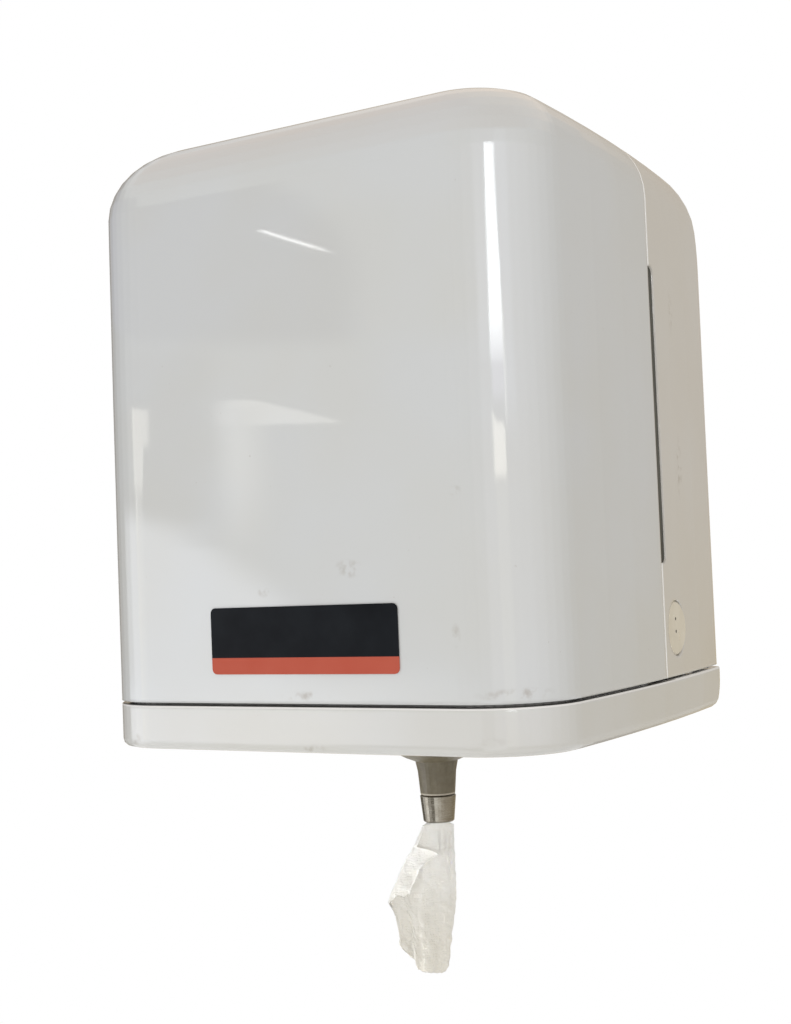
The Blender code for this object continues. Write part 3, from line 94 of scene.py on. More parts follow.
# The roll, in millimetres: how far its soft ends, wall and bore lie inside the CAD's plain roll, and
# how much they wave. The direction and the blur of its loose end are in radians.
ROLL_BORE = 30.0
ROLL_LAYER_PITCH = 1.6
END_SINK = 0.35
END_RIDGE = 0.3
END_WAVE = 0.3
WALL_SINK = 0.5
WALL_SAG = 0.25
BORE_SINK = 0.4
BORE_WAVE = 0.5
LOOSE_END = 4.2
LOOSE_END_BLUR = 0.02
LAP_HEIGHT = 0.35

# Points round the roll, across each drawn turn of its ends, down its wall and up its bore
ROLL_STEPS = 256
TURN_STEPS = 3
WALL_ROWS = 40
BORE_ROWS = 24

# Black discs in a button's pits, painted shade that makes the shallow pits look as dark as deep holes:
# their heights from its middle, how deep they stand in its face, and their outline as pairs of radius and
# depth, in millimetres
DOT_RISES = (4.6, -1.6)
DOT_SINK = 0.4
DOT_OUTLINE = ((0.82, -0.62), (0.82, -0.26), (0.68, -0.12), (0.36, -0.05))
DOT_STEPS = 24


# Materials

COLOURS = {"data_type": "RGBA"}
PRODUCT = {"operation": "MULTIPLY"}
DIFFERENCE = {"operation": "SUBTRACT"}
LARGER = {"operation": "MAXIMUM"}
UNSIGNED = {"operation": "ABSOLUTE"}
SMOOTH = {"interpolation_type": "SMOOTHSTEP"}

# Where a moulded edge begins and ends to show paler as a painted highlight, where painted shade darkens
# the tray's ledge under its seam, where the outlet's rolled end shows paler and where the label turns red:
# an axis, and the begin and the end of the change
COVER_RIM = ("Y", -107.9, -107.6)
COVER_RIM_END = ("Y", -106.5, -106.1)
CASING_RIM = ("Y", -105.6, -106.1)
TRAY_RIM = ("Z", -126.9, -126.4)
TRAY_SEAM = ("Z", -125.95, -125.8)
OUTLET_BEAD = ("Z", -180.3, -180.7)
LABEL_BAND = ("Z", -103.5, -103.7)

# How strongly rub marks and specks show on the gloss, and the blend that rounds its edges
SMUDGE_STRENGTH = 0.45
SPECK_STRENGTH = 0.25
EDGE_BLEND = 2.6


def linear(code):
    """An sRGB hex colour as linear RGBA."""
    channels = [int(code[i:i + 2], 16) / 255 for i in (1, 3, 5)]
    spread = [c / 12.92 if c <= 0.04045 else ((c + 0.055) / 1.055) ** 2.4 for c in channels]
    return (*spread, 1.0)


def per(size_mm):
    """The scale of a noise pattern whose features are this many millimetres across."""
    return 1 / (size_mm * MM)


def waves(pitch_mm):
    """The scale of a wave pattern that repeats after this many millimetres."""
    return math.tau / 20 * per(pitch_mm)


def add(look, kind, settings=None, inputs=None):
    """Adds one shader node with its settings, and fills its inputs by values, hex colours or links."""
    node = look.node_tree.nodes.new("ShaderNode" + kind)
    for key, value in (settings or {}).items():
        setattr(node, key, value)
    for key, value in (inputs or {}).items():
        if isinstance(value, bpy.types.NodeSocket):
            look.node_tree.links.new(value, node.inputs[key])
        else:
            node.inputs[key].default_value = linear(value) if isinstance(value, str) else value
    return node


def new_look(name, colour, roughness, ior=1.5, metallic=0.0, gleam=0.5):
    """A material with its uniform values on the shader's own sockets, and its shader and place nodes."""
    look = bpy.data.materials.new(name)
    look.use_nodes = True
    shader = look.node_tree.nodes["Principled BSDF"]
    shader.inputs["Base Color"].default_value = linear(colour)
    shader.inputs["Roughness"].default_value = roughness
    shader.inputs["IOR"].default_value = ior
    shader.inputs["Metallic"].default_value = metallic
    shader.inputs["Specular IOR Level"].default_value = gleam
    place = add(look, "TexCoord").outputs["Object"]
    return look, shader, place


def finish_look(look, shader, sources):
    """Leads the worked-out colour, roughness or normal into the shader."""
    for key, source in sources.items():
        look.node_tree.links.new(source, shader.inputs[key])
    return look


def speckle(look, place, size_mm, low, high, detail=3.0, stretch=(1, 1, 1), seed=0.0):
    """Noise of a real size, cut to the band between low and high: 0 to 1."""
    moved = add(look, "Mapping", inputs={"Vector": place, "Scale": stretch,
                                         "Location": (seed, seed / 2, seed / 3)})
    cloud = add(look, "TexNoise", inputs={"Vector": moved.outputs["Vector"], "Scale": per(size_mm),
                                          "Detail": detail})
    band = add(look, "MapRange", inputs={"Value": cloud.outputs["Fac"], "From Min": low, "From Max": high})
    return band.outputs["Result"]


def ramp_along(look, place, axis, start_mm, end_mm):
    """0 to 1 along one axis of the object, between two places in millimetres."""
    parts = add(look, "SeparateXYZ", inputs={"Vector": place})
    band = add(look, "MapRange", SMOOTH, {"Value": parts.outputs[axis], "From Min": start_mm * MM,
                                          "From Max": end_mm * MM})
    return band.outputs["Result"]


def on_ledge(look, place):
    """1 on the tray's ledge, the strip outside its lip that follows the sides and front corners."""
    parts = add(look, "SeparateXYZ", inputs={"Vector": place})
    half = add(look, "Math", UNSIGNED, {0: parts.outputs["X"]})
    aside = add(look, "Math", DIFFERENCE, {0: half.outputs[0], 1: CORNER_CENTRE_X * MM})
    ahead = add(look, "Math", DIFFERENCE, {0: CORNER_CENTRE_Y * MM, 1: parts.outputs["Y"]})
    aside = add(look, "Math", LARGER, {0: aside.outputs[0], 1: 0.0})
    ahead = add(look, "Math", LARGER, {0: ahead.outputs[0], 1: 0.0})
    out = add(look, "CombineXYZ", inputs={"X": aside.outputs[0], "Y": ahead.outputs[0]})
    reach = add(look, "VectorMath", {"operation": "LENGTH"}, {0: out.outputs[0]}).outputs["Value"]
    lip = CORNER_RADIUS - LEDGE_WIDTH
    band = add(look, "MapRange", inputs={"Value": reach, "From Min": lip * MM,
                                         "From Max": (lip + LEDGE_BLUR) * MM})
    return band.outputs["Result"]


def smudge_at(look, place, centre_mm, reach_mm, seed):
    """A torn, faint rub mark round one place: 1 at its heart, 0 past its reach."""
    sizes = [1 / (reach * MM) for reach in reach_mm]
    shift = [-centre / reach for centre, reach in zip(centre_mm, reach_mm)]
    near = add(look, "Mapping", inputs={"Vector": place, "Scale": sizes, "Location": shift})
    far = add(look, "VectorMath", {"operation": "LENGTH"}, {0: near.outputs["Vector"]})
    fade = add(look, "MapRange", SMOOTH, {"Value": far.outputs["Value"], "From Min": 1.0, "From Max": 0.3})
    torn = speckle(look, place, 5, 0.47, 0.66, detail=6, seed=seed)
    return add(look, "Math", PRODUCT, {0: fade.outputs["Result"], 1: torn}).outputs["Value"]


# Rub marks on the shells and the tray, as (x, y, z) and their reach along each axis, in millimetres
COVER_SMUDGES = (((31, -254, -65), (9, 6, 5)), ((-15, -254, -74), (4, 6, 3)),
                 ((86, -252, -34), (4, 6, 3)), ((84, -252, -95), (3, 6, 7)),
                 ((6, -254, -121), (15, 6, 3)), ((106, -244, -120.5), (24, 16, 3.5)))
CASING_SMUDGES = (((118, -72, 60), (6, 6, 16)), ((113, -70, -20), (6, 8, 22)))
TRAY_SMUDGES = (((-96, -250, -142), (9, 8, 4)), ((8, -252, -144), (12, 6, 3)),
                ((92, -248, -140), (14, 8, 3)))


def gloss_abs(name, colour, aged, grime, smudges, rim, beyond=None, seam=None):
    """Injection-moulded gloss ABS: a clear, slightly rippled shine over an even white, a little
    yellowed, with a few rub marks and specks. One moulded edge, from rim to beyond, is painted paler as a
    highlight, and painted shade darkens the ledge under a seam. Each edge has the blend that a mould leaves
    there."""
    look, shader, place = new_look(name, colour, 0.02)
    clouds = speckle(look, place, 70, 0.4, 0.66, detail=2)
    half = add(look, "Math", PRODUCT, {0: clouds, 1: 0.5}).outputs["Value"]
    tone = add(look, "Mix", COLOURS, {0: half, 6: colour, 7: aged}).outputs[2]
    worn = 0.0
    for number, (centre, reach) in enumerate(smudges):
        mark = smudge_at(look, place, centre, reach, number * 3.7)
        worn = add(look, "Math", LARGER, {0: worn, 1: mark}).outputs["Value"]
    faint = add(look, "Math", PRODUCT, {0: worn, 1: SMUDGE_STRENGTH}).outputs["Value"]
    tone = add(look, "Mix", COLOURS, {0: faint, 6: tone, 7: grime}).outputs[2]
    specks = speckle(look, place, 2.2, 0.775, 0.8, detail=2, seed=7.7)
    faint = add(look, "Math", PRODUCT, {0: specks, 1: SPECK_STRENGTH}).outputs["Value"]
    tone = add(look, "Mix", COLOURS, {0: faint, 6: tone, 7: grime}).outputs[2]
    even = tone
    # Painted highlight: the band along the moulded edge is coloured near white, where its edge catches the
    # light
    pale = ramp_along(look, place, *rim)
    tone = add(look, "Mix", COLOURS, {0: pale, 6: even, 7: "#fbfaf8"}).outputs[2]
    if beyond:
        past = ramp_along(look, place, *beyond)
        tone = add(look, "Mix", COLOURS, {0: past, 6: tone, 7: even}).outputs[2]
    # Painted shade: the ledge under the seam is coloured near black, for the shadow in the gap
    if seam:
        under = ramp_along(look, place, *seam)
        seam_shade_and_streaks = add(look, "Math", PRODUCT, {0: under, 1: on_ledge(look, place)}).outputs["Value"]
        tone = add(look, "Mix", COLOURS, {0: seam_shade_and_streaks, 6: tone, 7: "#2b2a28"}).outputs[2]
    dull = add(look, "MapRange", inputs={"Value": worn, "To Min": 0.02, "To Max": 0.16})
    rounded = add(look, "Bevel", {"samples": 8}, {"Radius": EDGE_BLEND * MM})
    ripple = speckle(look, place, 16, 0.2, 0.8, detail=1)
    bump = add(look, "Bump", inputs={"Height": ripple, "Strength": 0.5, "Distance": 0.004 * MM,
                                     "Normal": rounded.outputs["Normal"]})
    return finish_look(look, shader, {"Base Color": tone, "Roughness": dull.outputs["Result"],
                                      "Normal": bump.outputs["Normal"]})


def moulded_plastic(name, colour, shade, roughness, grain_mm, grain_depth):
    """Plainer moulded plastic: a fine spark-eroded texture breaks its shine into a soft sheen."""
    look, shader, place = new_look(name, colour, roughness, ior=1.49)
    clouds = speckle(look, place, 11, 0.35, 0.68, detail=4)
    tone = add(look, "Mix", COLOURS, {0: clouds, 6: colour, 7: shade})
    grain = speckle(look, place, grain_mm, 0.3, 0.7, detail=2)
    bump = add(look, "Bump", inputs={"Height": grain, "Strength": 0.6, "Distance": grain_depth * MM})
    return finish_look(look, shader, {"Base Color": tone.outputs[2], "Normal": bump.outputs["Normal"]})


def outlet_plastic():
    """Moulded polypropylene of the outlet: a waxy grey-brown, grainy, with a paler band at its rolled end.
    """
    look, shader, place = new_look("grey_moulded_polypropylene", "#6d6555", 0.45, ior=1.49)
    clouds = speckle(look, place, 3, 0.35, 0.68, detail=5)
    tone = add(look, "Mix", COLOURS, {0: clouds, 6: "#6b6350", 7: "#5e5643"})
    bead = ramp_along(look, place, *OUTLET_BEAD)
    tone = add(look, "Mix", COLOURS, {0: bead, 6: tone.outputs[2], 7: "#b0a798"})
    grain = speckle(look, place, 0.6, 0.3, 0.7, detail=2)
    bump = add(look, "Bump", inputs={"Height": grain, "Strength": 0.7, "Distance": 0.03 * MM})
    return finish_look(look, shader, {"Base Color": tone.outputs[2], "Normal": bump.outputs["Normal"]})


def turned_steel():
    """Stainless steel turned on a lathe: fine rings round the axis smear the shine upright."""
    look, shader, place = new_look("turned_stainless_steel", "#857f74", 0.26, metallic=1.0)
    rings = speckle(look, place, 0.45, 0.3, 0.7, detail=2, stretch=(0.02, 0.02, 1))
    stain = speckle(look, place, 4, 0.35, 0.7, detail=4, seed=2.0)
    tone = add(look, "Mix", COLOURS, {0: stain, 6: "#8b867b", 7: "#7b7569"})
    fade = add(look, "MapRange", inputs={"Value": rings, "To Min": 0.22, "To Max": 0.32})
    bump = add(look, "Bump", inputs={"Height": rings, "Strength": 0.7, "Distance": 0.03 * MM})
    return finish_look(look, shader, {"Base Color": tone.outputs[2], "Roughness": fade.outputs["Result"],
                                      "Normal": bump.outputs["Normal"]})


def plated_steel(name, colour, shade, roughness):
    """Drawn or headed steel with a zinc plate: greyer in patches, with a faint grain."""
    look, shader, place = new_look(name, colour, roughness, metallic=1.0)
    patches = speckle(look, place, 2.5, 0.3, 0.7, detail=4)
    tone = add(look, "Mix", COLOURS, {0: patches, 6: colour, 7: shade})
    bump = add(look, "Bump", inputs={"Height": patches, "Strength": 0.5, "Distance": 0.01 * MM})
    return finish_look(look, shader, {"Base Color": tone.outputs[2], "Normal": bump.outputs["Normal"]})


def smoked_strip():
    """Extruded smoked polycarbonate: dark grey and glossy, with upright paler streaks."""
    look, shader, place = new_look("smoked_polycarbonate", "#3a3b37", 0.16, ior=1.58, gleam=0.12)
    seam_shade_and_streaks = speckle(look, place, 5, 0.4, 0.75, detail=4, stretch=(2.5, 2.5, 0.12))
    tone = add(look, "Mix", COLOURS, {0: seam_shade_and_streaks, 6: "#3a3b38", 7: "#63635b"})
    return finish_look(look, shader, {"Base Color": tone.outputs[2]})


def printed_label():
    """Printed vinyl film: a black field with a plain red band along its foot, satin and faintly grained."""
    look, shader, place = new_look("printed_vinyl_film", "#15171a", 0.3, gleam=0.06)
    band = ramp_along(look, place, *LABEL_BAND)
    fade = speckle(look, place, 18, 0.3, 0.75, detail=3)
    black = add(look, "Mix", COLOURS, {0: fade, 6: "#101216", 7: "#1b1e22"})
    red = add(look, "Mix", COLOURS, {0: fade, 6: "#c05c4a", 7: "#c46250"})
    tone = add(look, "Mix", COLOURS, {0: band, 6: black.outputs[2], 7: red.outputs[2]})
    grain = speckle(look, place, 0.8, 0.3, 0.7)
    bump = add(look, "Bump", inputs={"Height": grain, "Strength": 0.4, "Distance": 0.006 * MM})
    return finish_look(look, shader, {"Base Color": tone.outputs[2], "Normal": bump.outputs["Normal"]})


def creped_tissue():
    """Two-ply creped tissue: soft and without shine, its fine crepe ridges run across the sheet."""
    look, shader, place = new_look("creped_tissue", "#fbfaf6", 0.92, ior=1.4)
    shader.inputs["Sheen Weight"].default_value = 0.25
    shader.inputs["Sheen Roughness"].default_value = 0.6
    shader.inputs["Subsurface Weight"].default_value = 0.15
    shader.inputs["Subsurface Scale"].default_value = 0.8 * MM
    shader.inputs["Subsurface Radius"].default_value = (1.0, 0.9, 0.75)
    clouds = speckle(look, place, 7, 0.3, 0.75, detail=5)
    tone = add(look, "Mix", COLOURS, {0: clouds, 6: "#fcfbf8", 7: "#f8f6f0"})
    # Painted shade: the sheet is coloured darker and warmer towards its hanging end
    low = ramp_along(look, place, "Z", -205, -262)
    tone = add(look, "Mix", COLOURS, {0: low, 6: tone.outputs[2], 7: "#f0ece2"})
    crepe = add(look, "TexWave", {"bands_direction": "Z"},
                {"Vector": place, "Scale": waves(CREPE_PITCH), "Distortion": 7, "Detail": 3,
                 "Detail Scale": 1.6})
    creases = speckle(look, place, 3.5, 0.2, 0.8, detail=3, stretch=(1, 1, 0.3), seed=4.0)
    fibres = speckle(look, place, 0.8, 0.25, 0.75, detail=3)
    ribs = add(look, "Bump", inputs={"Height": crepe.outputs["Fac"], "Strength": 0.6,
                                     "Distance": 0.14 * MM})
    folds = add(look, "Bump", inputs={"Height": creases, "Strength": 0.9, "Distance": 0.9 * MM,
                                      "Normal": ribs.outputs["Normal"]})
    bump = add(look, "Bump", inputs={"Height": fibres, "Strength": 0.5, "Distance": 0.1 * MM,
                                     "Normal": folds.outputs["Normal"]})
    return finish_look(look, shader, {"Base Color": tone.outputs[2], "Normal": bump.outputs["Normal"]})


def wound_tissue():
    """The roll's tissue: its cut ends show their hundreds of turns as coarser rings, its wall is even."""
    look, shader, place = new_look("wound_tissue", "#ebe6da", 0.95, ior=1.4)
    shader.inputs["Sheen Weight"].default_value = 0.2
    centre = (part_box("paper_roll")[0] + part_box("paper_roll")[1]) / 2
    moved = add(look, "Mapping", inputs={"Vector": place, "Location": (-centre.x, -centre.y, 0)})
    rings = add(look, "TexWave", {"wave_type": "RINGS", "rings_direction": "Z"},
                {"Vector": moved.outputs["Vector"], "Scale": waves(1.2), "Distortion": 1.6, "Detail": 2,
                 "Detail Scale": 0.8})
    turned = add(look, "Mix", COLOURS, {0: rings.outputs["Fac"], 6: "#cfc8b8", 7: "#f0ebe0"})
    clouds = speckle(look, place, 9, 0.3, 0.7, detail=4)
    wall = add(look, "Mix", COLOURS, {0: clouds, 6: "#f6f3ea", 7: "#efebe0"})
    facing = add(look, "SeparateXYZ", inputs={0: add(look, "NewGeometry").outputs["Normal"]})
    rise = add(look, "Math", UNSIGNED, {0: facing.outputs["Z"]}).outputs["Value"]
    end = add(look, "MapRange", inputs={"Value": rise, "From Min": 0.4, "From Max": 0.6})
    tone = add(look, "Mix", COLOURS, {0: end.outputs["Result"], 6: wall.outputs[2], 7: turned.outputs[2]})
    crepe = speckle(look, place, 1.2, 0.3, 0.7, detail=3, stretch=(1, 1, 2.5))
    bump = add(look, "Bump", inputs={"Height": crepe, "Strength": 0.5, "Distance": 0.1 * MM})
    return finish_look(look, shader, {"Base Color": tone.outputs[2], "Normal": bump.outputs["Normal"]})


COVER_ABS = gloss_abs("gloss_white_abs_cover", "#d8dadb", "#d6d6d2", "#9b8f80", COVER_SMUDGES,
                      COVER_RIM, beyond=COVER_RIM_END)
CASING_ABS = gloss_abs("gloss_white_abs_casing", "#d8d5cf", "#d5d0c7", "#9b9080", CASING_SMUDGES,
                       CASING_RIM)
TRAY_ABS = gloss_abs("gloss_white_abs_tray", "#dadad8", "#d6d4cd", "#9b9080", TRAY_SMUDGES,
                     TRAY_RIM, seam=TRAY_SEAM)
SMOKED = smoked_strip()
BUTTON_ABS = moulded_plastic("cream_moulded_abs", "#e4ddcd", "#dcd4c3", 0.28, 1.5, 0.01)
OUTLET_PP = outlet_plastic()
ACETAL = moulded_plastic("natural_moulded_acetal", "#dedad0", "#d3cdbf", 0.38, 1.2, 0.01)
# Painted shade: black discs that stand for the shade inside the buttons' pits
PIT_SHADE_BLACK = moulded_plastic("painted_pit_shade_black", "#17161a", "#222126", 0.5, 0.8, 0.01)
RING_STEEL = turned_steel()
ZINC = plated_steel("zinc_plated_steel", "#b8bac0", "#9fa0a4", 0.32)
SPRING_STEEL = plated_steel("drawn_spring_steel", "#9b9da3", "#84868b", 0.28)
LABEL_FILM = printed_label()
TISSUE = creped_tissue()
WOUND = wound_tissue()


def dress(look, *names):
    """Gives CAD nodes their material."""
    for name in names:
        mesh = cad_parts[name].data
        mesh.materials.clear()
        mesh.materials.append(look)


dress(COVER_ABS, "front_cover")
dress(CASING_ABS, "rear_casing")
dress(TRAY_ABS, "base_tray")
dress(OUTLET_PP, "outlet_flare")
dress(RING_STEEL, "outlet_ring")
dress(LABEL_FILM, "front_label")
for side in ("right", "left"):
    dress(SMOKED, "level_window_" + side)
    dress(BUTTON_ABS, "push_button_" + side)
    dress(ACETAL, "latch_hook_" + side, "well_cap_" + side, "catch_arm_" + side)
    dress(SPRING_STEEL, "latch_spring_" + side)
    dress(ZINC, "hinge_pin_" + side, "tray_screw_" + side + "_rear", "tray_screw_" + side + "_front")


# Pieces

def new_piece(name, points, faces, look, body):
    """A smooth mesh of these points and faces that rides a body."""
    mesh = bpy.data.meshes.new(name)
    mesh.from_pydata([tuple(point) for point in points], [], faces)
    mesh.materials.append(look)
    mesh.shade_smooth()
    piece = bpy.data.objects.new(name, mesh)
    bpy.context.scene.collection.objects.link(piece)
    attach(piece, body)
    return piece


def grid_faces(rows, columns, closed=False):
    """Faces between neighbouring points of a grid listed row by row."""
    faces = []
    for i in range(rows - 1):
        for k in range(columns if closed else columns - 1):
            n = (k + 1) % columns
            faces.append((i * columns + k, i * columns + n, (i + 1) * columns + n, (i + 1) * columns + k))
    return faces


def ease(share):
    """0 to 1 with a soft start and a soft end."""
    share = np.clip(share, 0, 1)
    return share * share * (3 - 2 * share)


def read_table(rows, at):
    """Reads pairs of (place, value), listed with falling places, at one or many places."""
    places = [row[0] for row in rows][::-1]
    values = [row[1] for row in rows][::-1]
    return np.interp(at, places, values)


# Where each fold of the hanging sheet lies across the view, by height, in millimetres
LEFT_EDGE = ((-195, -7), (-195.9, -8.2), (-198.5, -9.2), (-205.5, -12.9), (-214.8, -18.7),
             (-230, -25.8), (-234.6, -27.8), (-238, -25.6), (-244.6, -23.3), (-252, -23.3), (-262, -22))
FLAP_EDGE = ((-195, -6.2), (-196.4, -7.2), (-203, -10), (-206.4, -12), (-208.2, -4.5), (-210.2, -1.2),
             (-212, -4.2), (-215.4, -9.6), (-224, -14.3), (-231, -17), (-240, -17.5))
RIGHT_EDGE = ((-195, 6.4), (-196.2, 7.2), (-198, 7.3), (-214, 7.1), (-227, 7.0), (-238, 6.5),
              (-248, 4.6), (-256.8, 3.3), (-267, 1.9), (-272, 1.2))
UNDER_LEFT = ((-195, -6.2), (-196.4, -7.2), (-205, -10.4), (-220, -16), (-235, -21), (-246, -22.9),
              (-257, -22.9), (-262.6, -19.2), (-268.5, -15.2), (-272, -13))

# The folds in the order in which they come across the sheet: how far across it, how far forward of
# the outlet's axis once open, the edge that each follows, and its share of that edge's distance
FOLDS = ((0, 10.6, FLAP_EDGE, 1), (14, 6.2, LEFT_EDGE, 1), (47, 3.2, RIGHT_EDGE, 1),
         (76, 0.9, UNDER_LEFT, 1), (104, -1.2, RIGHT_EDGE, 0.86), (130, -3.2, UNDER_LEFT, 0.86),
         (153, -5.0, RIGHT_EDGE, 0.6), (173, -6.6, UNDER_LEFT, 0.7), (190, -8.0, RIGHT_EDGE, 0.3),
         (205, -9.3, UNDER_LEFT, 0.55))

# Where the sheet's torn end hangs, by how far across the sheet
HEM = ((0, -230.4), (2.5, -229.4), (5, -231.6), (7.5, -230.2), (10, -232.9), (13, -235.4),
       (15.5, -243), (17, -253.2), (24.5, -253.9), (26.5, -268), (31, -270.5), (39, -271.4),
       (43, -269.9), (46, -266), (49, -262), (52, -268.5), (66, -268.5), (72, -262.6), (76, -257),
       (80, -262), (86, -266), (100, -265), (104, -260), (110, -263), (126, -262), (130, -255),
       (135, -259), (150, -261), (160, -256), (173, -250), (180, -254), (190, -248), (198, -250),
       (205, -245))

# The crease beside which the main panel stands forward, the gathers on its right side, which fade
# below the ring, and the thickened lip of the flap's torn edge, in millimetres
CREASE_PLACE = -16.6
CREASE_BLUR = 2.2
CREASE_STEP = 1.7
GATHERS_FADE_FROM = -200
GATHERS_FADE_LENGTH = 30
GATHERS_PLACE = -2.5
GATHERS_BLUR = 3
GATHERS_DEPTH = 1.8
PANEL_SWAY = 0.5
FLAP_BULGE = 0.7
LIP_HEIGHT = 1.4
LIP_WIDTH = 2.2


def fold_row(across, height):
    """Where the columns of the sheet lie at one height below the ring: across the view and forward."""
    places = np.array([fold[0] for fold in FOLDS], float)
    sides = np.array([read_table(fold[2], height) * fold[3] for fold in FOLDS])
    fronts = np.array([fold[1] for fold in FOLDS], float)
    layer = np.clip(np.searchsorted(places, across, side="right") - 1, 0, len(FOLDS) - 2)
    share = (across - places[layer]) / (places[layer + 1] - places[layer])
    a = sides[layer] + (sides[layer + 1] - sides[layer]) * (1 - np.cos(np.pi * share)) / 2
    t = fronts[layer] + (fronts[layer + 1] - fronts[layer]) * share
    # Layer 1 is the main panel, with gathers down its right side, and layer 0 is the flap
    main = (layer == 1) * ease((a - CREASE_PLACE) / CREASE_BLUR)
    fall = ease((GATHERS_FADE_FROM - height) / GATHERS_FADE_LENGTH)
    beside = ease((a - GATHERS_PLACE) / GATHERS_BLUR)
    gathers = GATHERS_DEPTH * np.sin(a * 2.3 + 0.4) * (1 - fall) * beside
    sway = PANEL_SWAY * np.sin(a * 0.55)
    lip = LIP_HEIGHT * np.exp(-(across / LIP_WIDTH) ** 2)
    flap = FLAP_BULGE * np.sin(np.pi * share) + lip
    return a, t + main * (CREASE_STEP + gathers + sway) + (layer == 0) * flap


def neck_row(across, turn):
    """Where the columns lie while the sheet is gathered in the outlet: a tight bundle of pleats."""
    share = across / SHEET_WIDTH
    t = NECK_DEPTH * (1 - 2 * share)
    a = -np.cos(np.pi * NECK_PLEATS * share) * np.sqrt(np.maximum(NECK_RADIUS ** 2 - t ** 2, 1.0))
    return a * math.cos(turn) - t * math.sin(turn), a * math.sin(turn) + t * math.cos(turn)


def waver(x, y, z):
    """Smooth noise, -1 to 1 and the same in each run, at a place scaled by the waves' fineness."""
    return noise.noise(Vector((x, y, z)))


def strand_points(columns, right, front):
    """The strand from the roll's bore down to the ring."""
    points = []
    for z in np.linspace(STRAND_TOP, RING_EXIT + 1, STRAND_ROWS):
        above = max(0.0, (z - STRAND_UPRIGHT) / (STRAND_TOP - STRAND_UPRIGHT))
        a, t = neck_row(columns, STRAND_TWIST * (z - RING_EXIT))
        for k in range(SHEET_COLUMNS):
            wrinkle = STRAND_WRINKLE * waver(k * 0.09, z * 0.06, 0.5)
            spot = right * (a[k] + wrinkle) + front * t[k]
            points.append(Vector((STRAND_SHIFT * above ** 2, 0, z)) + spot)
    return points


def hanging_points(columns, right, front):
    """The opened end below the ring. Each column is placed at its own height, because one row follows
    the hems of all the layers."""
    hem = read_table([(-place, z) for place, z in HEM], -columns)
    hem += np.array([HEM_TEAR * waver(c * 0.42, 3.3, 1.0) for c in columns])
    neck_a, neck_t = neck_row(columns, 0.0)
    points = []
    for fall in np.linspace(0, 1, HANGING_ROWS):
        heights = RING_EXIT + (hem - RING_EXIT) * fall
        for k in range(SHEET_COLUMNS):
            z = heights[k]
            a, t = fold_row(columns[k:k + 1], z)
            opened = float(ease((RING_EXIT - z) / OPENS_WITHIN))
            spread = float(ease((RING_EXIT - z) / SPREADS_WITHIN))
            a = float(neck_a[k] + (a[0] - neck_a[k]) * opened)
            t = float(neck_t[k] + (t[0] - neck_t[k]) * spread)
            loose = min(1.0, (RING_EXIT - z) / LOOSE_WITHIN)
            crumple = CRUMPLE * waver(a * 0.17, z * 0.11, t * 0.2)
            ripple = waver(a * 0.5, z * 0.36, 5.0)
            a += SIDE_RIPPLE * loose * ripple
            t += loose * (crumple + FRONT_RIPPLE * ripple)
            points.append(Vector((0, 0, z)) + right * a + front * t)
    return points


def hanging_sheet():
    """The sheet from the roll's bore, through the outlet and the ring, to its torn end."""
    roll_low, roll_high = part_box("paper_roll")
    axis = Vector((0, (roll_low.y + roll_high.y) / 2, 0))
    columns = np.linspace(0, SHEET_WIDTH, SHEET_COLUMNS)
    right = Vector((math.cos(SHEET_TURN), math.sin(SHEET_TURN), 0))
    front = Vector((math.sin(SHEET_TURN), -math.cos(SHEET_TURN), 0))
    spots = strand_points(columns, right, front) + hanging_points(columns, right, front)
    points = [axis + spot * MM for spot in spots]
    faces = grid_faces(STRAND_ROWS + HANGING_ROWS, SHEET_COLUMNS)
    sheet = new_piece("hanging_sheet", points, faces, TISSUE, "housing")
    skin = sheet.modifiers.new("ply", "SOLIDIFY")
    skin.thickness = SHEET_THICKNESS * MM
    skin.offset = 0
    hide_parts("paper_tail", "paper_feed")


def roll_outline(outer, half):
    """The roll's section as (radius, height, end), round from its bore: end is 1 on top, -1 below."""
    steps = int((outer - ROLL_BORE) / ROLL_LAYER_PITCH) * TURN_STEPS
    shares = [i / steps for i in range(steps + 1)]
    profile = [(ROLL_BORE + (outer - ROLL_BORE) * share, half, 1) for share in shares]
    profile += [(outer, half - 2 * half * i / WALL_ROWS, 0) for i in range(1, WALL_ROWS)]
    profile += [(ROLL_BORE + (outer - ROLL_BORE) * (1 - share), -half, -1) for share in shares]
    profile += [(ROLL_BORE, -half + 2 * half * i / BORE_ROWS, 0) for i in range(1, BORE_ROWS)]
    return profile


def softened(r, h, end, angle, outer):
    """A place on the roll's section, moved as wound tissue lies there: ridged, sagging or lapped."""
    across, along = math.cos(angle), math.sin(angle)
    if end:
        turn = (r - ROLL_BORE) / ROLL_LAYER_PITCH + angle / math.tau
        soft = min(1.0, (outer - r) / 2.0, (r - ROLL_BORE) / 2.0 + 0.2)
        cone = waver(r * 0.09, across * 0.7, along * 0.7 + end)
        ridge = END_RIDGE * math.cos(math.tau * turn) * soft
        return r, h - end * (END_SINK + ridge + END_WAVE * cone + (1 - soft) ** 2)
    if r > ROLL_BORE + 1:
        sag = waver(across * 2.2, along * 2.2, h * 0.02)
        lap = LAP_HEIGHT * float(ease((angle - LOOSE_END) / LOOSE_END_BLUR))
        return r - (WALL_SINK + WALL_SAG * sag - lap), h
    return r + BORE_SINK + BORE_WAVE * waver(across * 3, along * 3, h * 0.03), h


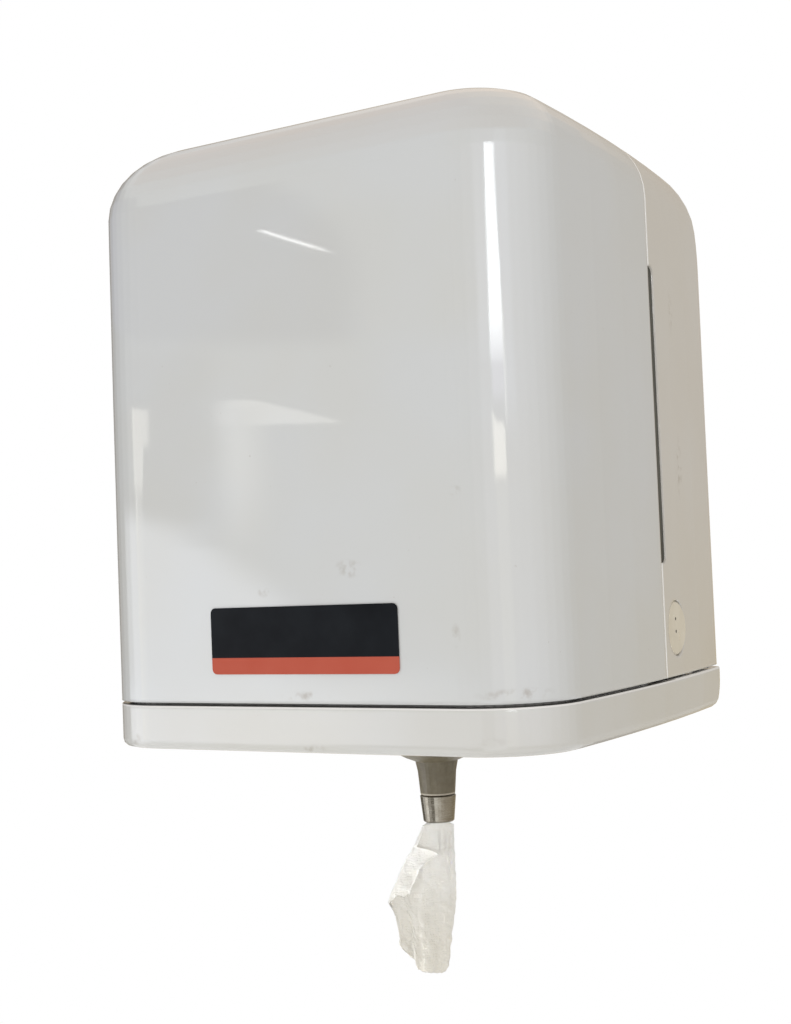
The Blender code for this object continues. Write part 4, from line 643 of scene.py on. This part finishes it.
def wound_roll():
    """The roll as wound tissue: a soft outer turn with its loose end, ridged ends and a bore."""
    low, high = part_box("paper_roll")
    centre = (low + high) / 2
    outer = (high.x - low.x) / 2 / MM
    profile = roll_outline(outer, (high.z - low.z) / 2 / MM)
    points = []
    for r, h, end in profile:
        for k in range(ROLL_STEPS):
            angle = k * math.tau / ROLL_STEPS
            radius, height = softened(r, h, end, angle, outer)
            spot = Vector((radius * math.cos(angle), radius * math.sin(angle), height))
            points.append(centre + spot * MM)
    faces = grid_faces(len(profile), ROLL_STEPS, closed=True)
    last = (len(profile) - 1) * ROLL_STEPS
    for k in range(ROLL_STEPS):
        n = (k + 1) % ROLL_STEPS
        faces.append((last + k, last + n, n, k))
    roll = new_piece("wound_roll", points, faces, WOUND, "housing")
    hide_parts("paper_roll")


def painted_pit_shades(side, sign):
    """Two black, slightly domed discs in the button's pits: painted shade that darkens them like deep
    holes.
    """
    low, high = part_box("push_button_" + side)
    cap_low, cap_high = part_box("well_cap_" + side)
    centre = (cap_low + cap_high) / 2
    face = (high.x if sign > 0 else low.x) - sign * DOT_SINK * MM
    points = []
    faces = []
    for rise in DOT_RISES:
        start = len(points)
        for radius, depth in DOT_OUTLINE:
            for k in range(DOT_STEPS):
                angle = k * math.tau / DOT_STEPS
                points.append(Vector((face + sign * depth * MM, centre.y + radius * MM * math.cos(angle),
                                      centre.z + (rise + radius * math.sin(angle)) * MM)))
        for corners in grid_faces(len(DOT_OUTLINE), DOT_STEPS, closed=True):
            faces.append(tuple(start + corner for corner in corners))
        top = start + (len(DOT_OUTLINE) - 1) * DOT_STEPS
        faces.append(tuple(range(top, top + DOT_STEPS)))
        faces.append(tuple(range(start + DOT_STEPS - 1, start - 1, -1)))
    marks = new_piece("painted_pit_shades_" + side, points, faces, PIT_SHADE_BLACK, "lock_" + side)


hanging_sheet()
wound_roll()
painted_pit_shades("right", 1)
painted_pit_shades("left", -1)


# Floor, world, lamps and camera

FLOOR_Z = -1.25
FLOOR_REACH = 2.2
FLOOR_GLOW = 0.55


def floor_look():
    """A pale floor that shows white to the camera where nothing shades it."""
    look = bpy.data.materials.new("pale_floor")
    look.use_nodes = True
    look.node_tree.nodes.clear()
    diffuse = add(look, "BsdfDiffuse", inputs={"Color": "#f4f4f2"})
    glow = add(look, "Emission", inputs={"Strength": FLOOR_GLOW})
    both = add(look, "AddShader", inputs={0: diffuse.outputs[0], 1: glow.outputs[0]})
    mixed = add(look, "MixShader", inputs={0: seen_directly(look), 1: diffuse.outputs[0],
                                           2: both.outputs[0]})
    add(look, "OutputMaterial", inputs={"Surface": mixed.outputs[0]})
    return look


def seen_directly(look):
    """1 for rays from the camera, from a shine or through a clear piece, else 0."""
    ray = add(look, "LightPath")
    seen = add(look, "Math", LARGER, {0: ray.outputs["Is Camera Ray"], 1: ray.outputs["Is Glossy Ray"]})
    seen = add(look, "Math", LARGER, {0: seen.outputs[0], 1: ray.outputs["Is Transmission Ray"]})
    return seen.outputs[0]


def make_floor():
    """A square floor far below the dispenser, which hangs on a wall."""
    shape = bmesh.new()
    bmesh.ops.create_grid(shape, x_segments=1, y_segments=1, size=FLOOR_REACH)
    mesh = bpy.data.meshes.new("floor")
    shape.to_mesh(mesh)
    shape.free()
    mesh.materials.append(floor_look())
    floor = bpy.data.objects.new("floor", mesh)
    floor.location = (0, 0, FLOOR_Z)
    bpy.context.scene.collection.objects.link(floor)


# What the gloss shows of the room: a colour, its strength, and the edges that bound it. An edge is a
# share of the azimuth and of the elevation, then where it begins and where it is full, in degrees.
# Azimuth 0 is straight out of the front and grows to the right.
ROOM = (
    # The warm ceiling and walls, the wall behind on both sides of the turn, and the lit ground
    ("#f6d8c2", 1.0, ((0, 1, 34, 52),)),
    ("#e2cfba", 1.45, ((0, 1, 20, 40), (1, 0, 110, 150))),
    ("#c2b7a8", 1.0, ((1, 0, 66, 96), (0, 1, -24, -12), (0, 1, 40, 25))),
    ("#c0ae8a", 1.0, ((1, 0, 66, 96), (0, 1, 5, -5), (0, 1, -24, -12))),
    ("#6a5c4c", 1.0, ((1, 0, -52, -84), (0, 1, 40, 25))),
    ("#c2b7a8", 1.0, ((1, 0, -120, -150), (0, 1, -24, -12), (0, 1, 40, 25))),
    ("#c0ae8a", 1.0, ((1, 0, -120, -150), (0, 1, 5, -5), (0, 1, -24, -12))),
    ("#e2cfba", 1.45, ((0, 1, 20, 40), (1, 0, -125, -160))),
    ("#8e8a80", 1.0, ((0, 1, -7.4, -8.6), (1, 0, 6, -8), (1, 0, -150, -120))),
    ("#f6faff", 2.6, ((0, 1, -7.4, -8.6), (1, 0, -4, 16), (1, 0, 42, 22))),
    ("#d6cab2", 1.0, ((0, 1, -7.4, -8.6), (1, 0, 32, 48))),
    # The dim far ceiling, and the tube lamp below it
    ("#e8d8ff", 0.25, ((0, 1, 9.2, 10.0), (0, 1, 32, 24), (1, 1, -18.4, -20.6), (1, 0, -31.8, -33.6),
                       (1, 0, -120, -100))),
    ("#ffffff", 13.0, ((1, 0, -36.25, -36.1), (1, 0, -33.2, -34.3), (0.31, 1, 2.36, 2.42),
                       (0.31, 1, 2.5, 2.44))),
    # The window at the left: the shade before it, its head, its soft jamb, and what it lights
    ("#fff4ea", 0.45, ((0, 1, 10.0, 9.0), (0, 1, 2.5, 3.1), (1, 0, -37.2, -38.8), (1, 0, -75, -62))),
    ("#fffdf8", 3.3, ((0.275, 1, -2.76, -2.9), (0, 1, 7.24, 7.1), (0, 1, 6.22, 6.32), (1, 0, -38.2, -36.9),
                      (1, 0, -32.9, -33.7))),
    ("#fffdf8", 2.6, ((0, 1, 7.1, 6.8), (0, 1, 0.8, 5.2), (1, 0, -38.2, -36.9), (1, 0, -35.5, -37.2))),
    ("#fffaf0", 3.4, ((0, 1, 7.0, 6.8), (0, 1, 3.4, 4.4), (1, 0, -64, -60), (1, -3, -56.4, -57.8),
                      (1, 0, -40.15, -40.35))),
    ("#f4f7ff", 3.2, ((0, 1, 3.6, 2.3), (0.78, 1, -27.3, -29.2), (1, 0, -33.2, -36.8), (1, 0, -94, -60))),
    ("#f8faff", 3.4, ((0, 1, -2.6, -4.4), (1, 0, -27, -35), (1, 0, -94, -60), (0, 1, -7.6, -6.9))),
    ("#f8faff", 1.8, ((0, 1, -3.0, -5.2), (1, 0, 16, -4), (1, 0, -35, -27), (0, 1, -7.6, -6.9))),
    ("#fffdf8", 3.9, ((0, 1, 4.4, 3.4), (0, 1, -7.4, -6.2), (1, 0, -58, -53), (1, 0, -47, -50))),
    # The tall window at the right: its haze, its upper and lower pane, the pale gap under them with
    # its bright frame, and the low pane
    ("#f8f8ff", 2.1, ((0, 1, -16, -8), (0, 1, 50, 16), (1, 0, 0, 30), (1, 0, 150, 60))),
    ("#eef2ff", 3.6, ((0.1, 1, 10.2, 13.4), (0, 1, 46, 20), (1, -1, 4, 24), (1, 0, 74, 44))),
    ("#efeeff", 4.2, ((0, 1, 6.6, 7.4), (0, 1, 12.6, 10.6), (1, 0, 28, 38), (1, 0, 52, 50.5))),
    ("#f6faff", 13.0, ((0, 1, 13.0, 14.2), (0, 1, 26, 19), (1, -0.5, 24.1, 28.1), (1, 0, 45.6, 42.2))),
    ("#f6faff", 13.0, ((0, 1, 7.8, 10.6), (0, 1, 15.2, 14.2), (1, -0.5, 24.1, 28.1), (1, 2, 74.5, 71.5),
                       (1, 0, 51.5, 49))),
    ("#ffffff", 6.0, ((0, 1, 5.4, 6.8), (0, 1, 11.4, 10.0), (1, 0, 48.5, 50), (1, 0, 54, 52.5))),
    ("#fffcf4", 7.0, ((0, 1, 3.7, 4.3), (0.05, 1, 8.2, 7.9), (1, 0, 27, 31), (1, 0, 47, 43))),
    ("#ffffff", 2.4, ((0, 1, -16, -8), (0, 1, 4.4, 3.6), (1, 0, 28, 36), (1, 0, 52, 44))),
)
WORLD_LEVEL = 0.66


def room_colours(world):
    """The colours of the room by the direction in which the shine looks at it."""
    way = add(world, "SeparateXYZ", inputs={0: add(world, "TexCoord").outputs["Generated"]})
    front = add(world, "Math", PRODUCT, {0: way.outputs["Y"], 1: -1.0})
    turn = add(world, "Math", {"operation": "ARCTAN2"}, {0: way.outputs["X"], 1: front.outputs[0]})
    rise = add(world, "Math", {"operation": "ARCSINE"}, {0: way.outputs["Z"]})
    azimuth = add(world, "Math", PRODUCT, {0: turn.outputs[0], 1: math.degrees(1)}).outputs[0]
    elevation = add(world, "Math", PRODUCT, {0: rise.outputs[0], 1: math.degrees(1)}).outputs[0]
    tone = "#ffffff"
    for colour, level, edges in ROOM:
        share = 1.0
        for across, up, begin, full in edges:
            part = add(world, "Math", PRODUCT, {0: azimuth, 1: across})
            place = add(world, "Math", {"operation": "MULTIPLY_ADD"},
                        {0: elevation, 1: up, 2: part.outputs[0]})
            edge = add(world, "MapRange", SMOOTH, {"Value": place.outputs[0], "From Min": begin,
                                                   "From Max": full})
            share = add(world, "Math", PRODUCT, {0: edge.outputs["Result"], 1: share}).outputs[0]
        bright = [level * channel for channel in linear(colour)]
        tone = add(world, "Mix", COLOURS, {0: share, 6: tone, 7: bright}).outputs[2]
    return tone


def make_world():
    """Even soft light, plain white wherever the camera sees past the object, and the room in the shine."""
    world = bpy.data.worlds.new("studio")
    bpy.context.scene.world = world
    world.use_nodes = True
    world.node_tree.nodes.clear()
    soft = add(world, "Background", inputs={"Color": "#fdfcfa", "Strength": WORLD_LEVEL})
    white = add(world, "Background", inputs={"Color": "#ffffff", "Strength": 1.0})
    room = add(world, "Background", inputs={"Color": room_colours(world), "Strength": 1.0})
    shine = add(world, "LightPath").outputs["Is Glossy Ray"]
    past = add(world, "MixShader", inputs={0: shine, 1: white.outputs[0], 2: room.outputs[0]})
    mixed = add(world, "MixShader", inputs={0: seen_directly(world), 1: soft.outputs[0],
                                            2: past.outputs[0]})
    add(world, "OutputWorld", inputs={"Surface": mixed.outputs[0]})


def toward(azimuth, elevation, distance, start):
    """A place seen from start; azimuth 0 is straight out of the front, positive to the right."""
    a, e = math.radians(azimuth), math.radians(elevation)
    way = Vector((math.sin(a) * math.cos(e), -math.cos(a) * math.cos(e), math.sin(e)))
    return Vector(start) + way * distance


def lamp(name, azimuth, elevation, distance, aim, width, height, radiance, colour="#ffffff", spread=180):
    """A soft rectangular lamp of the given radiance that lights without showing in the shine."""
    light = bpy.data.lights.new(name, "AREA")
    light.shape = "RECTANGLE"
    light.size = width
    light.size_y = height
    light.spread = math.radians(spread)
    light.energy = radiance * math.pi * width * height
    light.color = linear(colour)[:3]
    made = bpy.data.objects.new(name, light)
    made.location = toward(azimuth, elevation, distance, aim)
    made.rotation_mode = "QUATERNION"
    made.rotation_quaternion = (Vector(aim) - made.location).to_track_quat("-Z", "Y")
    made.visible_camera = False
    made.visible_glossy = False
    bpy.context.scene.collection.objects.link(made)


def make_lamps():
    """Three broad lamps for the housing, and two narrow ones for the paper in its shade."""
    face, foot = (0, -0.254, 0.0), (0, -0.2, -0.15)
    lamp("soft_front", -14, -32, 1.1, foot, 1.0, 0.6, 0.6, "#f6f9ff")
    lamp("window_left", -55, 4, 2.2, face, 0.9, 1.1, 1.5, "#f3f8ff")
    lamp("low_left", -60, -20, 0.35, (0, -0.15, -0.225), 0.15, 0.15, 0.6, spread=40)
    lamp("low_front", 25, -3, 0.35, (0, -0.15, -0.204), 0.02, 0.02, 0.5, spread=10)
    lamp("window_right", 42, 12, 2.5, face, 1.0, 1.2, 2.8, "#fff9f0")


def make_camera():
    """The photographer's camera, without depth of field."""
    data = bpy.data.cameras.new("camera")
    data.lens = CAMERA_LENS
    data.sensor_width = CAMERA_SENSOR
    data.sensor_fit = "AUTO"
    data.clip_start = 0.01
    data.clip_end = 100
    camera = bpy.data.objects.new("camera", data)
    right, up = Vector(CAMERA_RIGHT).normalized(), Vector(CAMERA_UP).normalized()
    back = right.cross(up)
    turned = Matrix((right, up, back)).transposed().to_4x4()
    camera.matrix_world = Matrix.Translation(CAMERA_PLACE) @ turned
    bpy.context.scene.collection.objects.link(camera)
    bpy.context.scene.camera = camera


make_floor()
make_world()
make_lamps()
make_camera()
bpy.context.scene.view_settings.view_transform = "Standard"
